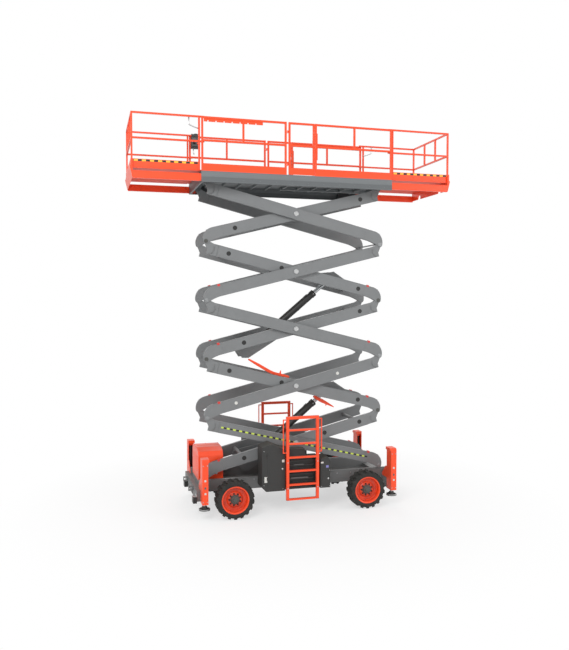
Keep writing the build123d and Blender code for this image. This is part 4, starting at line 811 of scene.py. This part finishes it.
outrigger = {"x": 2.145, "y": 1.050, "halfDepth": 0.125, "capSeam": 1.256, "spots": (0.870, 0.717, 0.597),
             "foot": 0.222,
             "pad": [(0, .002), (.1185, .002), (.1205, .008), (.1205, .022), (.112, .033), (.062, .0365),
                     (.058, .045), (.057, .074), (.050, .088), (.034, .092), (.0325, .092), (0, .092)],
             "rib": [(.050, .034), (.108, .034), (.108, .040), (.056, .066), (.050, .066)], "ribHalf": 0.004}
for way, wayName in ((1, "right"), (-1, "left")):
    for side, sideName in ((1, "far"), (-1, "near")):
        face = outrigger["y"] + outrigger["halfDepth"]
        x = way * outrigger["x"]
        corner = wayName + "_" + sideName
        skin = (face - .001, face + .0025)
        high, mark, low = outrigger["spots"]
        parts = [slab(side, (x - .020, x + .020), skin, (z - .020, z + .020), .001) for z in (high, low)]
        meshPiece("outrigger_plates_" + corner, parts, paleVinyl, "orange_paint", "chassis")
        parts = [slab(side, (x - .017, x + .017), skin, (mark - .022, mark + .022), .001)]
        meshPiece("outrigger_mark_" + corner, parts, greyVinyl, "orange_paint", "chassis")
        # folded lip round the column under the cap, and welds at the gussets
        z = outrigger["capSeam"]
        parts = [slab(side, (x - .067, x + .067), (face - .252, face + .002), (z - .0025, z + .0025), .0015)]
        parts += [slab(side, (x - .0665, x + .0665), (face - .030, face + .0015), (z, z + .010), .0015)
                  for z in (.362, 1.200)]
        meshPiece("outrigger_seams_" + corner, parts, *orange, "chassis")
        parts = [turnedPart(boltHead(.011, .008, .009), (x + dx, side * face, z), (0, side, 0), 6)
                 for z in (.420, 1.190) for dx in (-.045, .045)]
        meshPiece("outrigger_bolts_" + corner, parts, *steel, "chassis")
        foot = np.array([x, side * outrigger["y"], outrigger["foot"]])
        parts = [turnedPart(outrigger["pad"], foot, (0, 0, 1), 40)]
        for a in np.arange(4) * math.pi / 2 + math.pi / 4:  # ribs from the socket to the pad's edge
            c, s = math.cos(a), math.sin(a)
            parts.append(shellOf([[foot + (c * r - s * w, s * r + c * w, h) for r, h in outrigger["rib"]]
                                  for w in (-outrigger["ribHalf"], outrigger["ribHalf"])]))
        meshPiece("jack_foot_" + corner, parts, *black, "jack_" + corner, smooth=30)
print("stage: outriggers")

# chassis: block brackets, rail bolts and lips, kingpin caps

chassis = {"railFace": 0.6515, "brackets": (-0.860, 0.520), "axle": 1.505,
           "kingpin": [(0, 0), (.026, 0), (.026, .006), (.022, .009), (.006, .009), (.005, .016), (0, .017)]}
parts = []
for y in chassis["brackets"]:
    parts += [softBox((-2.302, y - .060, .405), (-2.286, y + .060, .525), .003),
              softBox((-2.372, y - .055, .474), (-2.288, y + .055, .482), .002)]
    parts += [turnedPart([(0, 0), (.009, 0), (.009, .007), (0, .008)], (-2.302, y + dy, .508), (-1, 0, 0), 6)
              for dy in (-.04, .04)]
meshPiece("block_brackets", parts, *steel, "chassis")
parts = []
for side in (-1, 1):
    out, y = (0, side, 0), side * chassis["railFace"]
    parts += [turnedPart(boltHead(.011, .008, .009), (x, y, .705), out, 6) for x in np.linspace(-1.30, 1.30, 9)
              if not -.95 < x < .70]  # none behind the bays
    parts += [turnedPart(boltHead(.014, .010, .012, .004), (x + dx, y, .540), out, 6)
              for x in (-chassis["axle"], chassis["axle"]) for dx in (-.075, .075)]
meshPiece("rail_bolts", parts, *steel, "chassis")
parts = []
for side in (-1, 1):  # folded lips along the rails' top and bottom edges
    parts += [slab(side, (-2.07, 2.07), (.6505, .6545), (z, z + .006), .0015) for z in (.503, .741)]
    parts.append(slab(side, (.700, 1.180), (.6505, .6535), (.575, .620), .001))
meshPiece("rail_lips", parts, coats["chassisGrey"], "chassis_paint", "chassis")
parts = [turnedPart(chassis["kingpin"], (-chassis["axle"], side * .860, .504), (0, 0, 1), 24) for side in (-1, 1)]
meshPiece("kingpin_caps", parts, *steel, "chassis")
print("stage: chassis")

# platform: rivets and lips on the side beams, post caps, gates

deck = {"halfWidth": 0.947, "beamEnd": 2.163, "groove": deckTop - 0.115, "slideBase": deckTop - 0.210,
        "postTop": deckTop + 1.132, "posts": (-2.140, -.327, .359, 2.140), "splices": (-1.6, -.9, .9, 1.6)}
parts = [turnedPart([(0, 0), (.009, 0), (.007, .004), (0, .005)],
                    (x, side * deck["halfWidth"], deck["groove"] - .060), (0, side, 0), 10)
         for side in (-1, 1) for x in np.arange(-5, 6) * .36 + .18]
meshPiece("beam_rivets", parts, coats["deckGrey"], "deck_metal", "platform")
parts, span = [], (-deck["beamEnd"], deck["beamEnd"])
for side in (-1, 1):
    parts += [slab(side, span, (.9465, .9495), (deckTop - .012, deckTop - .002), .001),
              slab(side, span, (.9465, .9500), (deck["groove"] - .104, deck["groove"] - .096), .001)]
meshPiece("beam_lips", parts, coats["deckGrey"], "deck_metal", "platform")

parts, z = [], deck["postTop"]
for side in (-1, 1):
    parts += [slab(side, (x - .019, x + .019), (.908, .946), (z - .001, z + .003), .0015) for x in deck["posts"]]
    parts += [slab(side, (x - .040, x + .040), (.9455, .9495), (deckTop + .030, deckTop + .120), .002)
              for x in deck["splices"]]  # where the toe boards are joined
    # lever that holds the gate shut, beside the post, and its clips
    parts.append(slab(side, (.381, .401), (.912, .936), (deckTop + .350, deckTop + .930), .005))
    parts += [slab(side, (.372, .384), (.916, .932), (deckTop + h - .012, deckTop + h + .012), .002)
              for h in (.380, .640, .900)]
meshPiece("post_caps", parts, *orange, "platform")

for side, sideName in sides:
    # hinge collars above and below each sleeve
    parts = [turnedPart([(.0087, 0), (.016, 0), (.016, .0015), (.0087, .0015)],
                        (-.282, side * .927, deckTop + h + dz), (0, 0, 1), 20, closed=True)
             for h in (.225, .925) for dz in (-.0215, .0265)]
    meshPiece("hinge_rings_" + sideName, parts, *steel, "platform")
    parts = [slab(side, (.285, .327), (.900, .908), (deckTop + .700, deckTop + .780), .003),
             tubeAlong([(.300, side * y, deckTop + h) for y, h in
                        ((.902, .765), (.880, .760), (.880, .690), (.902, .685))], .006, 8, .008)]
    meshPiece("gate_latch_" + sideName, parts, *steel, "gate_" + sideName)
    parts = [slab(side, (-.2385, -.2185), (.9165, .9375), (deckTop + .64, deckTop + 1.095), .003)]
    meshPiece("gate_stiffener_" + sideName, parts, *orange, "gate_" + sideName)

# extensions: a loop handle on each to draw it out, tape on the toe boards, lips

extension = {"handleY": 0.858, "handle": ((2.410, 8.494), (2.410, 8.335), (2.290, 8.286), (2.198, 8.262)),
             "tapeFrom": 2.225, "tapeTo": 3.560, "tapeBase": deckTop + .140, "tapeTall": 0.040, "outer": 0.886,
             "slideFrom": 1.60, "slideTo": 3.565, "floorFrom": 2.22, "plates": (2.30, 2.75, 3.20)}
for way, side, name in ((-1, -1, "left"), (1, 1, "right")):
    path = [(way * x, side * extension["handleY"], z) for x, z in extension["handle"]]
    meshPiece("loop_handle_" + name, [tubeAlong(path, .0115, 12, .02)], *steel, "extension_" + name,
              smooth=180)

for way, name in ((-1, "left"), (1, "right")):
    for side, sideName in sides:
        base, y = extension["tapeBase"], extension["outer"]
        verts, faces = slab(side, (way * extension["tapeFrom"], way * extension["tapeTo"]), (y - .0005, y + .0015),
                            (base, base + extension["tapeTall"]), .0004)
        meshPiece("toe_tape_%s_%s" % (name, sideName), [(verts, faces)], edgeTape, "orange_paint",
                  "extension_" + name, uv=verts[:, [0, 2]])
    parts = []
    for side in (-1, 1):
        # a folded lip along each slide rail, top and bottom, splice plates, and an edge over the floor plate's side
        span = (way * extension["slideFrom"], way * extension["slideTo"])
        parts += [slab(side, span, (.9285, .9325), (deck["slideBase"] + h, deck["slideBase"] + h + .008), .0015)
                  for h in (.006, .136)]
        parts += [slab(side, (way * (x - .03), way * (x + .03)), (.8855, .8885),
                       (deckTop + .035, deckTop + .125), .002) for x in extension["plates"]]
        parts.append(slab(side, (way * extension["floorFrom"], way * extension["slideTo"]), (.8855, .8925),
                          (deckTop + .002, deckTop + .0255), .0015))
    parts.append(softBox((way * 3.6085, -.80, deckTop + .055), (way * 3.6125, .80, deckTop + .165), .003))
    meshPiece("extension_lips_" + name, parts, *orange, "extension_" + name)
print("stage: platform")

# control box: domed lid, fascia, stick, buttons

panel = {"x": -2.030, "inner": 0.719, "top": deckTop + 1.145,
         "domeWidth": 0.094, "domeRise": 0.074, "domeDrop": 0.072,
         "stick": [(0, 0), (.034, 0), (.033, .006), (.026, .010), (.028, .016), (.020, .020), (.022, .026),
                   (.013, .031), (.009, .036), (.009, .055), (.016, .060), (.019, .074), (.017, .092), (.009, .098),
                   (0, .099)],
         "button": [(0, 0), (.010, 0), (.010, .006), (.008, .008), (0, .008)],
         "buttons": ((.020, -.120), (.050, -.120), (.020, -.155), (.050, -.155)),
         "stop": [(0, 0), (.014, 0), (.014, .012), (.021, .014), (.022, .022), (.018, .027), (0, .029)]}
x, y, z = panel["x"], panel["inner"], panel["top"]
angle = np.linspace(0, np.pi, 17)
parts = [shellOf([np.column_stack([x + panel["domeWidth"] * np.cos(angle), np.full(17, at),
                                   z - panel["domeDrop"] + panel["domeRise"] * np.sin(angle)])
                  for at in (y - .006, y + .132)]),
         softBox((x - .102, y - .004, z - .300), (x + .102, y + .020, z - .078), .005)]
meshPiece("control_lid", parts, mouldedPlastic, "box_plastic", "platform")
parts = [softBox((x - .086, y - .007, z - .285), (x + .086, y - .003, z - .092), .002)]
meshPiece("control_fascia", parts, greyVinyl, "box_plastic", "platform")
front, out = y - .007, (0, -1, 0)
parts = [turnedPart(panel["stick"], (x - .040, front, z - .215), out, 28)]
parts += [turnedPart(panel["button"], (x + dx, front, z + dz), out, 16) for dx, dz in panel["buttons"]]
meshPiece("control_stick", parts, rubber, "box_plastic", "platform", smooth=35)
parts = [turnedPart(panel["stop"], (x + .045, front, z - .230), out, 28)]
meshPiece("stop_button", parts, *orange, "platform", smooth=35)
parts = [tubeAlong([(x - .050, y + .060, z - .326), (x - .050, y + .060, z - .420), (x - .030, y + .060, z - .470)],
                   .011, 10, .02),
         turnedPart([(0, 0), (.017, 0), (.017, .018), (0, .020)], (x - .050, y + .060, z - .345), (0, 0, 1), 16)]
meshPiece("control_strut", parts, *steel, "platform", smooth=180)
print("stage: control box")

# camera, light and floor

view = {"place": (-4.470, -15.610, 4.688), "turn": 15.664, "down": 2.130, "lens": 38.735}
camera = bpy.data.cameras.new("camera")
camera.lens = view["lens"]
camera.sensor_width = 36.0
camera.clip_end = 200.0
eye = bpy.data.objects.new("camera", camera)
eye.location = view["place"]
eye.rotation_euler = (math.radians(90 - view["down"]), 0, -math.radians(view["turn"]))
bpy.context.scene.collection.objects.link(eye)
bpy.context.scene.camera = eye

lamps = {
    # name: kind, energy, size, place, aim
    "key": ("AREA", 1500.0, 7.0, (-9.0, -13.0, 13.0), (0, 0, 4.0)),
    "fill": ("AREA", 520.0, 8.0, (12.0, -10.0, 7.0), (0, 0, 4.0)),
    "back": ("AREA", 500.0, 7.0, (3.0, 13.0, 12.0), (0, 0, 4.5)),
}
for name, (kind, energy, size, place, aim) in lamps.items():
    light = bpy.data.lights.new(name, kind)
    light.energy = energy
    light.size = size
    lamp = bpy.data.objects.new(name, light)
    lamp.location = place
    u, w, d = axesFor(np.array(place, float) - np.array(aim, float))
    lamp.rotation_euler = (math.atan2(math.hypot(d[0], d[1]), d[2]), 0, math.atan2(d[1], d[0]) + math.pi / 2)
    bpy.context.scene.collection.objects.link(lamp)

studio = {"ambient": 0.58, "fadeFrom": 1.5, "fadeTo": 6.5, "floorWhite": 0.93, "floor": -0.001}
world = bpy.data.worlds.new("studio")
bpy.context.scene.world = world
world.use_nodes = True
world.node_tree.nodes.clear()
tree = world.node_tree
soft = addNode(tree, "ShaderNodeBackground", {"Color": (1, 1, 1, 1), "Strength": studio["ambient"]})
white = addNode(tree, "ShaderNodeBackground", {"Color": (1, 1, 1, 1), "Strength": 1.0})
path = addNode(tree, "ShaderNodeLightPath")
seen = addNode(tree, "ShaderNodeMath", {"operation": "MAXIMUM"},
               {0: path.outputs["Is Camera Ray"], 1: path.outputs["Is Glossy Ray"]})
seenToo = addNode(tree, "ShaderNodeMath", {"operation": "MAXIMUM"},
                  {0: seen, 1: path.outputs["Is Transmission Ray"]})
mixed = addNode(tree, "ShaderNodeMixShader", None, {0: seenToo, 1: soft, 2: white})
addNode(tree, "ShaderNodeOutputWorld", None, {"Surface": mixed})

# studio floor: matt white, which turns into plain white light away from the machine
floorMat, tree, place = freshMaterial("studioFloor")
far = addNode(tree, "ShaderNodeVectorMath", {"operation": "LENGTH"}, {0: place})
fade = addNode(tree, "ShaderNodeMapRange",
               {"From Min": studio["fadeFrom"], "From Max": studio["fadeTo"], "To Min": studio["ambient"]},
               {"Value": far.outputs["Value"]})
matt = addNode(tree, "ShaderNodeBsdfDiffuse", {"Color": [studio["floorWhite"]] * 3 + [1]})
glow = addNode(tree, "ShaderNodeEmission", {"Color": (1, 1, 1, 1), "Strength": 1.0})
path = addNode(tree, "ShaderNodeLightPath")
show = addNode(tree, "ShaderNodeMath", {"operation": "MAXIMUM"},
               {0: path.outputs["Is Camera Ray"], 1: path.outputs["Is Glossy Ray"]})
gate = addNode(tree, "ShaderNodeMath", {"operation": "MULTIPLY"}, {0: fade, 1: show})
mixed = addNode(tree, "ShaderNodeMixShader", None, {0: gate, 1: matt, 2: glow})
addNode(tree, "ShaderNodeOutputMaterial", None, {"Surface": mixed})
floorMesh = bpy.data.meshes.new("floor")
floorMesh.from_pydata([(x, y, studio["floor"]) for x, y in ((-60, -60), (60, -60), (60, 60), (-60, 60))], [],
                      [(0, 1, 2, 3)])
floorMesh.materials.append(floorMat)
floor = bpy.data.objects.new("floor", floorMesh)
bpy.context.scene.collection.objects.link(floor)

bpy.context.scene.view_settings.view_transform = "Standard"
print("stage: camera, lamps and floor")
